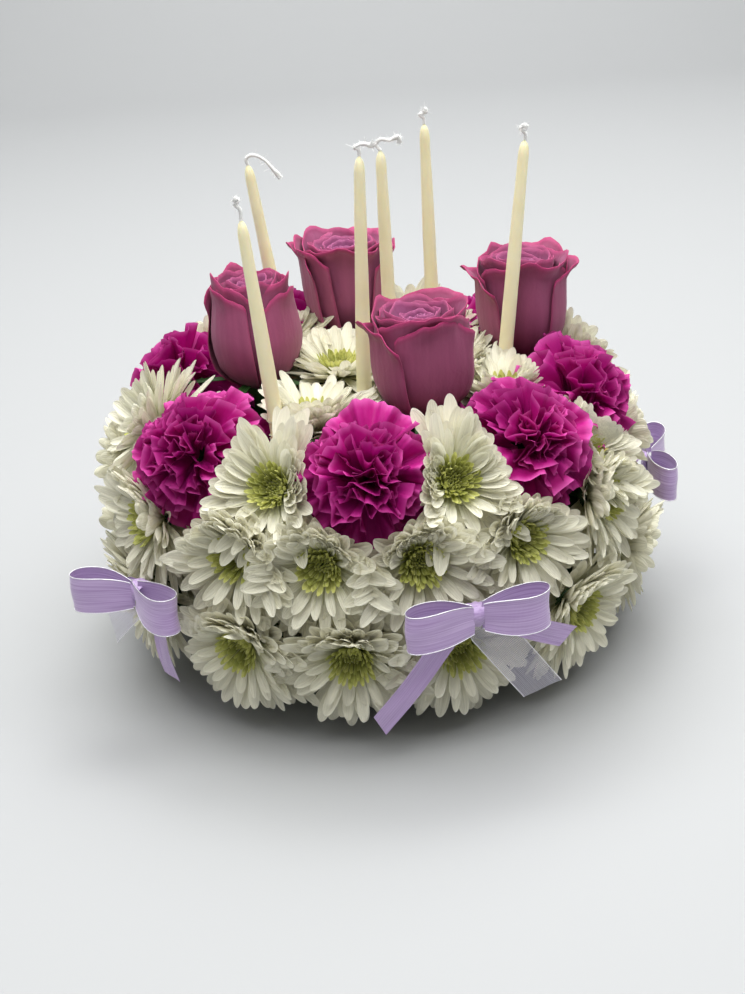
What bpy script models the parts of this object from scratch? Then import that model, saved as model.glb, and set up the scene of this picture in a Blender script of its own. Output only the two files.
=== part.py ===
"""A floral cake: fresh flower heads packed round and over a round foam core, like a party cake.

Three rows of white chrysanthemums cover the side and the shoulder, magenta carnations stand in
the upper row, and four roses, six thin candles and four ribbon bows finish it. The origin is
the middle of the flat underside, +Z is up and -Y is the front. Lengths are in millimetres.
"""

import math
import random

import bmesh
import bpy
from mathutils import Matrix, Vector

COLLECTION_NAME = "floral_cake"
METRES = 0.001
SEED = 11

# Core
CORE_RADIUS = 98.0
CORE_HEIGHT = 113.0
CORE_EDGE = 3.0
CORE_SEGMENTS = 28

# Spaces between neighbours
GAP = 0.3
FLOOR_GAP = 1.5

# Stems
STEM_RADIUS = 3.0
STEM_CLEAR = 0.6
STEM_END = 0.5
HEART_DEPTH = 5.0

# Chrysanthemums, with outlines as distance out and distance along the stem
MUM_REACH = 39.0
MUM_PETALS = 12
MUM_NOTCH = 0.8
MUM_DROOP = 0.14
MUM_CALYX = (14.0, -8.0)
MUM_RIM_RISE = 9.0
MUM_MID_SHARE = 0.66
MUM_MID_RISE = 9.5
MUM_NOTCH_SINK = 2.0
MUM_RISE_SPREAD = 1.5
MUM_BUTTON_EDGE = (11.5, 1.5)
MUM_BUTTON_TOP = (0.0, 7.5)
MUM_MEETING_RISE = 6.0

# Rows of chrysanthemums: face radius, face height, tilt above level, share against neighbours
LOW_ROW = {"radius": 134.0, "height": 50.0, "tilt": -5.0, "share": 0.62}
MID_ROW = {"radius": 130.0, "height": 97.0, "tilt": 12.0, "share": 1.0}
HIGH_ROW = {"radius": 117.0, "height": 128.0, "tilt": 36.0, "share": 1.3}
TOP_ROW = {"height": 139.0, "tilt": 90.0, "share": 0.9}
MEETING_REACH = 1.6

# Turns round the cake in degrees, 0 at the front and rising towards +X, and how far each
# head of the high row stands under it
LOW_TURNS = (-66, -31, -7, 15, 45, 76, 107, 138, 169, 200, 231, 262)
MID_TURNS = (-60, -31, -12, 8, 31, 58, 93, 127, 162, 196, 231, 265)
HIGH_TURNS = (-80, -24, 18, 63, 112, 168, 226)
HIGH_DROPS = (0.0, 0.0, 0.0, 15.0, 0.0, 0.0, 0.0)
TOP_PLACES = ((-30, -54), (-16, 20), (40, 6), (68, -34), (-50, 66), (42, 66))

# Carnations, with each ring of ruffles as share of the reach, distance along and ruffle
CARNATION_REACH = 37.0
CARNATION_ROW = {"radius": 107.0, "height": 129.0, "tilt": 36.0, "share": 2.4}
CARNATION_TURNS = (-111, -54, -2, 44, 79, 136, 206)
CARNATION_FACINGS = (-104, -38, -2, 32, 68, 136, 206)
CARNATION_MEETING_RISE = 10.0
CARNATION_RUFFLES = 10
CARNATION_WAVE = 0.05
CARNATION_CALYX = (9.0, -15.0)
CARNATION_RINGS = ((1.0, 3.0, 3.0), (0.84, 14.5, -2.8), (0.48, 22.5, 2.2))
CARNATION_HEART = (6.0, 23.0)
CARNATION_TOP = (0.0, 25.5)

# Roses
ROSE_PLACES = {"front": (26, -48), "left": (-60, 10), "back": (-10, 85), "right": (85, 28)}
ROSE_BASE_HEIGHT = 139.0
ROSE_RADIUS = 27.5
ROSE_SIDE_LEAN = 26.5
ROSE_SIDE_RADIUS = 19.5
ROSE_SIDE_HEIGHT = 143.0
ROSE_SHARE = 1.6
ROSE_SPREAD = 20.0
ROSE_AROUND = 16
ROSE_PETALS = 5
ROSE_FOLD = 0.045
ROSE_LIP = 3.0
ROSE_WAVE = 1.5
ROSE_LINE = (
    (4.5, -4.0), (16.0, 4.0), (23.5, 15.0), (25.0, 33.0), (25.5, 54.0), (18.0, 58.5), (9.0, 57.0),
)
ROSE_HEART = (0.0, 55.0)
ROSE_LIP_LEVEL = 6

# Candles: foot on the core and tip, by place and height. The waist is a share of the length
# and of the radius, and a shoulder is a distance under the tip and what it adds to the radius.
CANDLE_RADIUS = 4.2
CANDLE_TIP_RADIUS = 2.3
CANDLE_WAIST = (0.45, 0.86)
CANDLE_SHOULDERS = ((8.0, 0.4), (1.5, -0.6))
WICK_RADIUS = 0.7
WICK_LENGTH = 9.0
WICK_BEND = (0.6, 0.75, 0.5)
CANDLE_LINES = (
    ((-46, -71), (-55, -69), 249),
    ((-44, 42), (-57, 42), 250),
    ((-3, -10), (2, -8), 262),
    ((13, 11), (13, 11), 260),
    ((38, 58), (38, 60), 262),
    ((71, -5), (86, 5), 262),
)

# Bows: turn and height of the knot, how far the left and right sides swing out in degrees,
# and each tail's side step, drop and width
SHEER = 19.0
SATIN = 12.0
LONG_TAILS = ((-48, -53, SATIN), (35, -51, SHEER), (48, -24, SATIN))
BOWS = {
    "front": {"turn": 16, "height": 76, "swings": (0, 0), "tails": LONG_TAILS},
    "left": {
        "turn": -51, "height": 73, "swings": (34, 0),
        "tails": ((-38, -12, SATIN), (13, -46, SATIN), (-20, -22, SHEER)),
    },
    "back": {"turn": 196, "height": 76, "swings": (0, 0), "tails": LONG_TAILS},
    "right": {
        "turn": 101, "height": 70, "swings": (0, 28),
        "tails": ((-16, -46, SATIN), (44, -34, SATIN), (30, -42, SHEER)),
    },
}
BOW_RADIUS = 154.0
BOW_BACK = 7.5
BOW_SPREAD = 62.0
BOW_PICK_RADIUS = 1.6
BOW_PICK_SIDES = 8
RIBBON_THICKNESS = 0.9
KNOT_SIZE = (11.0, 12.0, 12.0)
KNOT_EDGE = 2.5
LOOP_LENGTH = 33.0
LOOP_DEPTH = 15.0
LOOP_FOOT = 2.5
LOOP_FORWARD = 4.0
LOOP_APART = 1.3
LOOP_STEPS = 8
TAIL_STEPS = 2
TAIL_WAVE = 0.8
TAIL_LAYER = 1.5
TAIL_BACK = 3.6 * TAIL_LAYER


def material(name, colour, roughness, metallic=0.0):
    """Make a Principled material with one colour."""
    made = bpy.data.materials.new(name)
    made.use_nodes = True
    shader = made.node_tree.nodes["Principled BSDF"]
    shader.inputs["Base Color"].default_value = (*colour, 1.0)
    shader.inputs["Roughness"].default_value = roughness
    shader.inputs["Metallic"].default_value = metallic
    return made


def clear_scene():
    """Remove whatever objects the file holds."""
    for thing in list(bpy.data.objects):
        bpy.data.objects.remove(thing, do_unlink=True)


def outward(turn):
    """Give the level direction away from the middle at a turn in degrees."""
    angle = math.radians(turn)
    return Vector((math.sin(angle), -math.cos(angle), 0.0))


class Site:
    """A piece's place: a line of growth, and the planes that keep it clear of its neighbours."""

    def __init__(self, name, face, direction, reach, share, rise=0.0):
        self.name = name
        self.face = Vector(face)
        self.direction = Vector(direction).normalized()
        self.middle = self.face + self.direction * rise
        self.reach = reach
        self.share = share
        self.planes = [(Vector((0.0, 0.0, -1.0)), -FLOOR_GAP)]

    def keep_below(self, normal, point):
        """Keep this piece on the near side of a plane."""
        self.planes.append((normal, normal.dot(point)))

    def held(self, place, anchor):
        """Pull a point back towards its anchor until it meets no plane."""
        share = 1.0
        for normal, limit in self.planes:
            along = normal.dot(place - anchor)
            room = limit - normal.dot(anchor)
            if along > max(room, 0.0):
                share = min(share, max(room, 0.0) / along)
        return anchor + (place - anchor) * share


def part_flowers(sites):
    """Set a plane between each pair of flower heads that can meet."""
    for index, first in enumerate(sites):
        for second in sites[index + 1:]:
            apart = second.middle - first.middle
            distance = apart.length
            if distance > MEETING_REACH * (first.reach + second.reach):
                continue
            normal = apart / distance
            share = first.share / (first.share + second.share)
            border = first.middle + normal * (distance * share)
            first.keep_below(normal, border - normal * (GAP / 2))
            second.keep_below(-normal, border + normal * (GAP / 2))


def part_from_rod(site, foot, tip, radius):
    """Keep a flower head clear of a straight rod."""
    axis = (tip - foot).normalized()
    away = foot - site.middle
    away -= axis * away.dot(axis)
    normal = away.normalized()
    site.keep_below(normal, foot - normal * (radius + GAP))


def part_from_rose(site, rose):
    """Keep a flower head clear of a rose's rounded foot, and the rose clear of it."""
    across = site.middle - rose.face
    across.z = 0.0
    across.normalize()
    lean = math.radians(ROSE_SIDE_LEAN)
    normal = across * math.cos(lean) - Vector((0.0, 0.0, math.sin(lean)))
    border = Vector((rose.face.x, rose.face.y, ROSE_SIDE_HEIGHT)) + across * ROSE_SIDE_RADIUS
    rose.keep_below(normal, border)
    site.keep_below(-normal, border + normal * GAP)


def stem_length(site):
    """Measure from a flower's face back along its stem to the core."""
    direction = site.direction
    level = Vector((direction.x, direction.y)).length
    lengths = [0.0]
    if direction.z > 0.05:
        spare = STEM_CLEAR + STEM_RADIUS * level
        lengths.append((site.face.z - CORE_HEIGHT - spare) / direction.z)
    if level > 0.05:
        radius = Vector((site.face.x, site.face.y)).length
        spare = STEM_CLEAR + STEM_RADIUS * abs(direction.z)
        lengths.append((radius - CORE_RADIUS - spare) / level)
    return max(lengths)


def local_frame(site):
    """Give two directions across a flower's stem, the second the nearer to +Z."""
    guide = Vector((0.0, 0.0, 1.0))
    if abs(site.direction.z) > 0.98:
        guide = Vector((0.0, 1.0, 0.0))
    side = guide.cross(site.direction).normalized()
    return side, site.direction.cross(side).normalized()


def head_mesh(site, around, levels, shape):
    """Turn a sphere into a flower head.

    Each vertex of the sphere takes the level and the angle it has there, shape gives its
    distance out and along the stem, and the site's planes pull it clear of its neighbours.
    """
    mesh = bmesh.new()
    bmesh.ops.create_uvsphere(mesh, u_segments=around, v_segments=levels, radius=1.0)
    side, up = local_frame(site)
    for vertex in mesh.verts:
        height = max(-1.0, min(1.0, vertex.co.z))
        level = round((math.acos(-height)) / math.pi * levels)
        angle = math.atan2(vertex.co.y, vertex.co.x)
        step = round(angle / (2 * math.pi) * around) % around
        out, along = shape(level, step, angle)
        anchor = site.face + site.direction * min(along, -HEART_DEPTH)
        across = side * math.cos(angle) + up * math.sin(angle)
        place = site.face + site.direction * along + across * out
        vertex.co = site.held(place, anchor)
    return mesh


def mum_shape(site, length):
    """Describe a chrysanthemum: stem, cupped whorl of petals and a round button."""
    chance = random.Random(f"{SEED}{site.name}")
    reaches = [site.reach * chance.uniform(0.94, 1.04) for _ in range(MUM_PETALS)]
    rises = [chance.uniform(-MUM_RISE_SPREAD, MUM_RISE_SPREAD) for _ in range(MUM_PETALS)]

    def shape(level, step, angle):
        petal = (step // 2) % MUM_PETALS
        tip = reaches[petal] * (1.0 + MUM_DROOP * max(0.0, -math.sin(angle)))
        between = step % 2
        notch = MUM_NOTCH if between else 1.0
        rise = rises[petal] - MUM_NOTCH_SINK * between
        rings = (
            (0.0, -length),
            (STEM_RADIUS, -length + STEM_END),
            MUM_CALYX,
            (tip * notch, MUM_RIM_RISE + rise),
            (tip * MUM_MID_SHARE, MUM_MID_RISE + 1.5 * rise),
            MUM_BUTTON_EDGE,
            MUM_BUTTON_TOP,
        )
        return rings[level]

    return shape


def carnation_shape(site, length):
    """Describe a carnation: stem, tube and a ruffled dome of petals."""
    chance = random.Random(f"{SEED}{site.name}")
    waves = [chance.uniform(0.92, 1.06) for _ in range(CARNATION_RUFFLES)]

    def shape(level, step, angle):
        wave = waves[(step // 2) % CARNATION_RUFFLES]
        ruffle = 1.0 if step % 2 else -1.0
        rings = [(0.0, -length), (STEM_RADIUS, -length + STEM_END), CARNATION_CALYX]
        for share, along, depth in CARNATION_RINGS:
            fullness = wave * (1.0 + CARNATION_WAVE * ruffle) if share == 1.0 else 1.0
            rings.append((site.reach * share * fullness, along + depth * ruffle))
        rings += [CARNATION_HEART, CARNATION_TOP]
        return rings[level]

    return shape


def rose_shape(site, length):
    """Describe a rose: stem, round foot, barrel of wrapped petals and an open top."""
    chance = random.Random(f"{SEED}{site.name}")
    start = chance.uniform(0.0, math.tau)

    def shape(level, step, angle):
        wrap = ((angle - start) / math.tau * ROSE_PETALS) % 1.0
        fold = 1.0 + ROSE_FOLD * (wrap - 0.5)
        rings = [(0.0, -length), (STEM_RADIUS, -length + STEM_END)]
        rings += [(out * fold, along) for out, along in ROSE_LINE]
        rings.append(ROSE_HEART)
        out, along = rings[level]
        if level == ROSE_LIP_LEVEL:
            lip = ROSE_LIP * math.sin(math.pi * wrap)
            along += lip
            out += 0.6 * lip - 0.5 * ROSE_LIP
        if level == ROSE_LIP_LEVEL + 1:
            along += ROSE_WAVE * math.sin(math.tau * 3 * wrap)
        return out, along

    return shape


def mesh_object(name, mesh, collection):
    """Turn a mesh into a named object."""
    data = bpy.data.meshes.new(name)
    mesh.to_mesh(data)
    mesh.free()
    made = bpy.data.objects.new(name, data)
    collection.objects.link(made)
    return made


def finished(name, mesh, look, collection):
    """Turn a mesh in millimetres into a smooth object in metres."""
    bmesh.ops.scale(mesh, vec=(METRES,) * 3, verts=mesh.verts)
    made = mesh_object(name, mesh, collection)
    made.data.materials.append(look)
    made.data.shade_smooth()
    return made


def flower_rows():
    """Place every chrysanthemum and carnation."""
    mums = []
    for label, row, turns in (
        ("low", LOW_ROW, LOW_TURNS), ("mid", MID_ROW, MID_TURNS), ("high", HIGH_ROW, HIGH_TURNS),
    ):
        for number, turn in enumerate(turns, 1):
            name = f"mum_{label}_{number:02d}"
            drop = HIGH_DROPS[number - 1] if row is HIGH_ROW else 0.0
            mums.append(row_site(name, row, turn, MUM_REACH, MUM_MEETING_RISE, drop=drop))
    for number, (across, back) in enumerate(TOP_PLACES, 1):
        face = (across, back, TOP_ROW["height"])
        name = f"mum_top_{number:02d}"
        site = Site(name, face, (0, 0, 1), MUM_REACH, TOP_ROW["share"], MUM_MEETING_RISE)
        mums.append(site)
    carnations = []
    for number, (turn, facing) in enumerate(zip(CARNATION_TURNS, CARNATION_FACINGS), 1):
        name = f"carnation_{number:02d}"
        rise = CARNATION_MEETING_RISE
        carnations.append(row_site(name, CARNATION_ROW, turn, CARNATION_REACH, rise, facing))
    return mums, carnations


def row_site(name, row, turn, reach, rise, facing=None, drop=0.0):
    """Place one flower of a row at its turn round the cake, facing outward or its own way."""
    level = outward(turn)
    tilt = math.radians(row["tilt"])
    face = level * row["radius"] + Vector((0.0, 0.0, row["height"] - drop))
    way = outward(turn if facing is None else facing)
    direction = way * math.cos(tilt) + Vector((0.0, 0.0, math.sin(tilt)))
    return Site(name, face, direction, reach, row["share"], rise)


def add_core(look, collection):
    """Make the round foam core, with its top edge eased."""
    bpy.ops.mesh.primitive_cylinder_add(
        vertices=CORE_SEGMENTS, radius=CORE_RADIUS * METRES, depth=CORE_HEIGHT * METRES,
        location=(0.0, 0.0, CORE_HEIGHT / 2 * METRES),
    )
    core = bpy.context.active_object
    core.name = "core"
    core.data.materials.append(look)
    mesh = bmesh.new()
    mesh.from_mesh(core.data)
    top = CORE_HEIGHT / 2 * METRES
    rim = [edge for edge in mesh.edges if all(abs(v.co.z - top) < 1e-6 for v in edge.verts)]
    bmesh.ops.bevel(
        mesh, geom=rim, offset=CORE_EDGE * METRES, segments=2, affect="EDGES", profile=0.5,
    )
    mesh.to_mesh(core.data)
    mesh.free()
    for owner in list(core.users_collection):
        owner.objects.unlink(core)
    collection.objects.link(core)
    return core


def candle_ends(line):
    """Give a candle's foot on the core and its tip."""
    (foot_x, foot_y), (tip_x, tip_y), top = line
    tip = Vector((tip_x, tip_y, top))
    base = Vector((foot_x, foot_y, ROSE_BASE_HEIGHT))
    slope = (tip - base) / (tip.z - base.z)
    foot = base - slope * (base.z - CORE_HEIGHT - 2 * GAP)
    return foot, tip


def add_candle(name, line, look, collection):
    """Make a hand-dipped taper with its wick, as one tube that narrows."""
    foot, tip = candle_ends(line)
    axis = (tip - foot).normalized()
    long = (tip - foot).length
    waist, narrowing = CANDLE_WAIST
    upright, end, aside = WICK_BEND
    bend = Vector((1.0, 0.0, 0.4)).normalized()
    rings = [(foot, CANDLE_RADIUS), (foot + axis * (long * waist), CANDLE_RADIUS * narrowing)]
    rings += [(tip - axis * under, CANDLE_TIP_RADIUS + more) for under, more in CANDLE_SHOULDERS]
    rings += [
        (tip, WICK_RADIUS),
        (tip + axis * (WICK_LENGTH * upright), WICK_RADIUS),
        (tip + (axis * end + bend * aside) * WICK_LENGTH, WICK_RADIUS),
    ]
    curve = bpy.data.curves.new(name, "CURVE")
    curve.dimensions = "3D"
    curve.bevel_depth = METRES
    curve.bevel_resolution = 1
    curve.use_fill_caps = True
    spline = curve.splines.new("POLY")
    spline.points.add(len(rings) - 1)
    for point, (place, radius) in zip(spline.points, rings):
        point.co = (*(place * METRES), 1.0)
        point.radius = radius
    curve.materials.append(look)
    made = bpy.data.objects.new(name, curve)
    collection.objects.link(made)
    return made


def strip_mesh(path, across, width):
    """Make a ribbon's flat strip along a path, with its width along one direction a step."""
    mesh = bmesh.new()
    rows = []
    for point, direction in zip(path, across):
        half = direction.normalized() * (width / 2)
        rows.append((mesh.verts.new(point - half), mesh.verts.new(point + half)))
    for first, second in zip(rows, rows[1:]):
        mesh.faces.new((first[0], first[1], second[1], second[0]))
    return mesh


def strip_object(name, path, across, width, collection):
    """Make one thick strip of ribbon in the bow's own space."""
    made = mesh_object(name, strip_mesh(path, across, width), collection)
    thick = made.modifiers.new("thickness", "SOLIDIFY")
    thick.thickness = RIBBON_THICKNESS
    thick.offset = 0.0
    return made


def swung(point, swings):
    """Swing a point of a bow out from the cake, by the swing of the side that it is on."""
    left, right = swings
    swing = left if point.x < 0.0 else -right
    return Matrix.Rotation(math.radians(swing), 3, "Z") @ point


def loop_path(side):
    """Run round a bow's loop, out from the knot and back, seen from above."""
    path = []
    for step in range(LOOP_STEPS + 1):
        turn = math.tau * step / LOOP_STEPS
        out = (1.0 - math.cos(turn)) / 2
        swell = LOOP_DEPTH / 2 * math.sin(turn) * math.sin(turn / 2)
        depth = LOOP_FORWARD + LOOP_APART * math.cos(turn / 2) + swell
        path.append(Vector((side * (LOOP_FOOT + LOOP_LENGTH * out), -depth, 0.0)))
    return path


def tail_path(step, drop, layer):
    """Run along a bow's tail from the knot to its end, with a slight wave."""
    path = []
    for number in range(TAIL_STEPS + 1):
        share = number / TAIL_STEPS
        wave = TAIL_WAVE * math.sin(math.pi * 1.5 * share)
        path.append(Vector((step * share, layer + wave, drop * share)))
    return path


def bow_strips(name, bow, collection):
    """Make the loops and tails of a bow, each its own strip."""
    upright = Vector((0.0, 0.0, 1.0))
    strips = []
    for label, side in (("near", -1), ("far", 1)):
        path = [swung(point, bow["swings"]) for point in loop_path(side)]
        across = [upright] * len(path)
        strips.append(strip_object(f"{name}_{label}", path, across, SHEER, collection))
    for number, (step, drop, width) in enumerate(bow["tails"]):
        layer = TAIL_BACK - TAIL_LAYER * number
        path = [swung(point, bow["swings"]) for point in tail_path(step, drop, layer)]
        along = path[-1].normalized()
        across = [along.cross(Vector((0.0, 1.0, 0.0)))] * len(path)
        strips.append(strip_object(f"{name}_tail{number}", path, across, width, collection))
    return strips


def is_upright(edge):
    """Tell whether an edge runs along Z."""
    first, second = edge.verts
    return abs(first.co.x - second.co.x) + abs(first.co.y - second.co.y) < GAP


def bow_knot(name, collection):
    """Make a bow's knot, with its upright edges eased."""
    mesh = bmesh.new()
    bmesh.ops.create_cube(mesh, size=1.0)
    bmesh.ops.scale(mesh, vec=KNOT_SIZE, verts=mesh.verts)
    upright = [edge for edge in mesh.edges if is_upright(edge)]
    bmesh.ops.bevel(
        mesh, geom=upright, offset=KNOT_EDGE, segments=1, affect="EDGES", profile=0.5,
    )
    return mesh_object(name, mesh, collection)


def bow_pick(name, collection):
    """Make the thin pick that pins a bow into the core."""
    length = BOW_RADIUS - CORE_RADIUS - 2 * GAP
    mesh = bmesh.new()
    lying = Matrix.Translation((0.0, length / 2, 0.0)) @ Matrix.Rotation(math.pi / 2, 4, "X")
    bmesh.ops.create_cone(
        mesh, cap_ends=True, segments=BOW_PICK_SIDES, radius1=BOW_PICK_RADIUS,
        radius2=BOW_PICK_RADIUS, depth=length, matrix=lying,
    )
    return mesh_object(name, mesh, collection)


def add_bow(name, bow, look, collection, guides):
    """Join a bow's knot, loops, tails and pick, and set it against the flowers."""
    knot = bow_knot(f"{name}_knot", guides)
    pieces = [bow_pick(f"{name}_pick", guides), *bow_strips(name, bow, guides)]
    for piece in pieces:
        joined = knot.modifiers.new(piece.name, "BOOLEAN")
        joined.operation = "UNION"
        joined.solver = "EXACT"
        joined.object = piece
    bpy.context.view_layer.update()
    graph = bpy.context.evaluated_depsgraph_get()
    data = bpy.data.meshes.new_from_object(knot.evaluated_get(graph))
    for piece in [knot, *pieces]:
        bpy.data.objects.remove(piece, do_unlink=True)
    data.name = name
    data.materials.clear()
    data.materials.append(look)
    made = bpy.data.objects.new(name, data)
    collection.objects.link(made)
    made.scale = (METRES,) * 3
    made.rotation_euler = (0.0, 0.0, math.radians(bow["turn"]))
    place = outward(bow["turn"]) * BOW_RADIUS + Vector((0.0, 0.0, bow["height"]))
    made.location = place * METRES
    return made


def main():
    """Build the floral cake."""
    clear_scene()
    cake = bpy.data.collections.new(COLLECTION_NAME)
    guides = bpy.data.collections.new(f"{COLLECTION_NAME}_guides")
    for made in (cake, guides):
        bpy.context.scene.collection.children.link(made)

    foam = material("floral_foam", (0.05, 0.12, 0.05), 0.95)
    white = material("white_petal", (0.86, 0.86, 0.76), 0.6)
    magenta = material("magenta_petal", (0.55, 0.01, 0.32), 0.65)
    mauve = material("mauve_petal", (0.42, 0.08, 0.24), 0.6)
    wax = material("ivory_wax", (0.88, 0.84, 0.60), 0.45)
    lavender = material("lavender_ribbon", (0.50, 0.36, 0.66), 0.4)

    mums, carnations = flower_rows()
    roses = [
        Site(f"rose_{label}", (x, y, ROSE_BASE_HEIGHT), (0, 0, 1), ROSE_RADIUS, ROSE_SHARE)
        for label, (x, y) in ROSE_PLACES.items()
    ]
    heads = [*mums, *carnations]
    part_flowers(heads)
    for site in heads:
        for rose in roses:
            if (site.middle - rose.face).length < site.reach + rose.reach + ROSE_SPREAD:
                part_from_rose(site, rose)
    for site in [*heads, *roses]:
        for line in CANDLE_LINES:
            foot, tip = candle_ends(line)
            part_from_rod(site, foot, tip, CANDLE_RADIUS)
    for bow in BOWS.values():
        level = outward(bow["turn"])
        height = Vector((0.0, 0.0, bow["height"]))
        foot = level * CORE_RADIUS + height
        knot = level * BOW_RADIUS + height
        for site in heads:
            if (site.middle - knot).length < site.reach + BOW_SPREAD:
                part_from_rod(site, foot, knot, BOW_PICK_RADIUS)
                site.keep_below(level, knot - level * BOW_BACK)

    add_core(foam, cake)
    for site in mums:
        shape = mum_shape(site, stem_length(site))
        finished(site.name, head_mesh(site, 2 * MUM_PETALS, 6, shape), white, cake)
    for site in carnations:
        shape = carnation_shape(site, stem_length(site))
        finished(site.name, head_mesh(site, 2 * CARNATION_RUFFLES, 7, shape), magenta, cake)
    for site in roses:
        shape = rose_shape(site, stem_length(site))
        finished(site.name, head_mesh(site, ROSE_AROUND, 9, shape), mauve, cake)
    for number, line in enumerate(CANDLE_LINES, 1):
        add_candle(f"candle_{number:02d}", line, wax, cake)
    for label, bow in BOWS.items():
        add_bow(f"bow_{label}", bow, lavender, cake, guides)


main()
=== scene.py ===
"""Looks of the floral cake: real petals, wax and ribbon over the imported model.

Every flower head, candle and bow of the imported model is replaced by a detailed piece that
stands in the same place. Lengths in this file are millimetres until a mesh is made, and the
front of the cake faces -Y.
"""

from __future__ import annotations

import logging
import math
from abc import ABC, abstractmethod
from collections.abc import Callable
from dataclasses import dataclass, field
from enum import Enum

import bmesh
import bpy
import numpy as np
from mathutils import Matrix, Vector

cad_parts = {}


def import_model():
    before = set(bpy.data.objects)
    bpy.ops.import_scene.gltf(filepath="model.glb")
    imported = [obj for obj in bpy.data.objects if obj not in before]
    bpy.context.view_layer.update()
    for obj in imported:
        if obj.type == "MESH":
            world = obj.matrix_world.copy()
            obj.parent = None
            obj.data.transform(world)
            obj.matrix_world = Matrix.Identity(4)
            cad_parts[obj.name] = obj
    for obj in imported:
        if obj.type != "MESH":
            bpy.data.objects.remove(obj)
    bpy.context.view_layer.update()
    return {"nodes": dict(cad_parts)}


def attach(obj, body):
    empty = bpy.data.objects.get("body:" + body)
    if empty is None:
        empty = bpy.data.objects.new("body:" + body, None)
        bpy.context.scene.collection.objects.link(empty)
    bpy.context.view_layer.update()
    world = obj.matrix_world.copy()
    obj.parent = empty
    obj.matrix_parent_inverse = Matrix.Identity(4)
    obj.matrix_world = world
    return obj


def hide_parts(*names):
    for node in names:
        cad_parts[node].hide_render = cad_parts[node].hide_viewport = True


logging.basicConfig(level=logging.INFO, format="%(message)s")
LOG = logging.getLogger("floral_cake")

METRES = 0.001
SEED = 7
BODY = "root"
GOLDEN_TURN = math.radians(137.5)

Array = np.ndarray
Materials = list[bpy.types.Material]
Socket = bpy.types.NodeSocket


class Slot(Enum):
    """The record's material slots of the nodes that are replaced."""

    WHITE = "white_petal"
    MAGENTA = "magenta_petal"
    MAUVE = "mauve_petal"
    WAX = "wax"
    RIBBON = "ribbon"


@dataclass(frozen=True)
class Row:
    """One ring of flower heads.

    Attributes:
        label: Name of the row in the node names.
        radius: Distance of the faces from the middle.
        height: Height of the faces.
        tilt: Angle of the faces above level, in degrees.
        share: Claim on the room between two neighbours.
        turns: Turn of each head round the cake, in degrees from the front.
        facings: Turn that each head faces, if not outward.
        drops: How far each head stands under the row, if not level with it.
    """

    label: str
    radius: float
    height: float
    tilt: float
    share: float
    turns: tuple[float, ...]
    facings: tuple[float, ...] = ()
    drops: tuple[float, ...] = ()


LOW_ROW = Row(
    "mum_low", 134, 50, -5, 0.62,
    (-66, -31, -7, 15, 45, 76, 107, 138, 169, 200, 231, 262),
)
MID_ROW = Row(
    "mum_mid", 130, 97, 12, 1.0,
    (-60, -31, -12, 8, 31, 58, 93, 127, 162, 196, 231, 265),
)
HIGH_ROW = Row(
    "mum_high", 117, 128, 36, 1.3, (-80, -24, 18, 63, 112, 168, 226),
    drops=(0, 0, 0, 15, 0, 0, 0),
)
CARNATION_ROW = Row(
    "carnation", 107, 129, 36, 2.4,
    (-111, -54, -2, 44, 79, 136, 206), (-104, -38, -2, 32, 68, 136, 206),
)
TOP_PLACES = ((-30, -54), (-16, 20), (40, 6), (68, -34), (-50, 66), (42, 66))
TOP_HEIGHT = 139.0
TOP_SHARE = 0.9
MUM_REACH = 39.0
FLOOR_CLEAR = 1.0
CORE_HEIGHT = 113.0

ROSE_BASE = 139.0
ROSE_FOOT_RADIUS = 17.0
CANDLE_LINES = (
    ((-46, -71), (-55, -69), 249),
    ((-44, 42), (-57, 42), 250),
    ((-3, -10), (2, -8), 262),
    ((13, 11), (13, 11), 260),
    ((38, 58), (38, 60), 262),
    ((71, -5), (86, 5), 262),
)
BOW_RADIUS = 154.0


def outward(turn: float) -> Array:
    """Give the level direction away from the middle.

    Args:
        turn: Turn round the cake in degrees, 0 at the front and rising towards +X.

    Returns:
        A unit vector.
    """
    angle = math.radians(turn)
    return np.array([math.sin(angle), -math.cos(angle), 0.0])


def unit(vector: Array) -> Array:
    """Scale a vector to length one.

    Args:
        vector: Any vector that isn't zero.

    Returns:
        The unit vector.
    """
    return vector / np.linalg.norm(vector)


def unit_rows(vectors: Array) -> Array:
    """Scale each row to length one.

    Args:
        vectors: Rows that aren't zero.

    Returns:
        The unit rows.
    """
    return vectors / np.linalg.norm(vectors, axis=1)[:, None]


def smooth(low: float, high: float, value: Array | float) -> Array | float:
    """Ease from 0 to 1 between two values.

    Args:
        low: Value where the ease starts.
        high: Value where it ends.
        value: One value or an array of them.

    Returns:
        The eased share, of the same form as value.
    """
    share = np.clip((value - low) / (high - low), 0.0, 1.0)
    return share * share * (3.0 - 2.0 * share)


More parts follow.
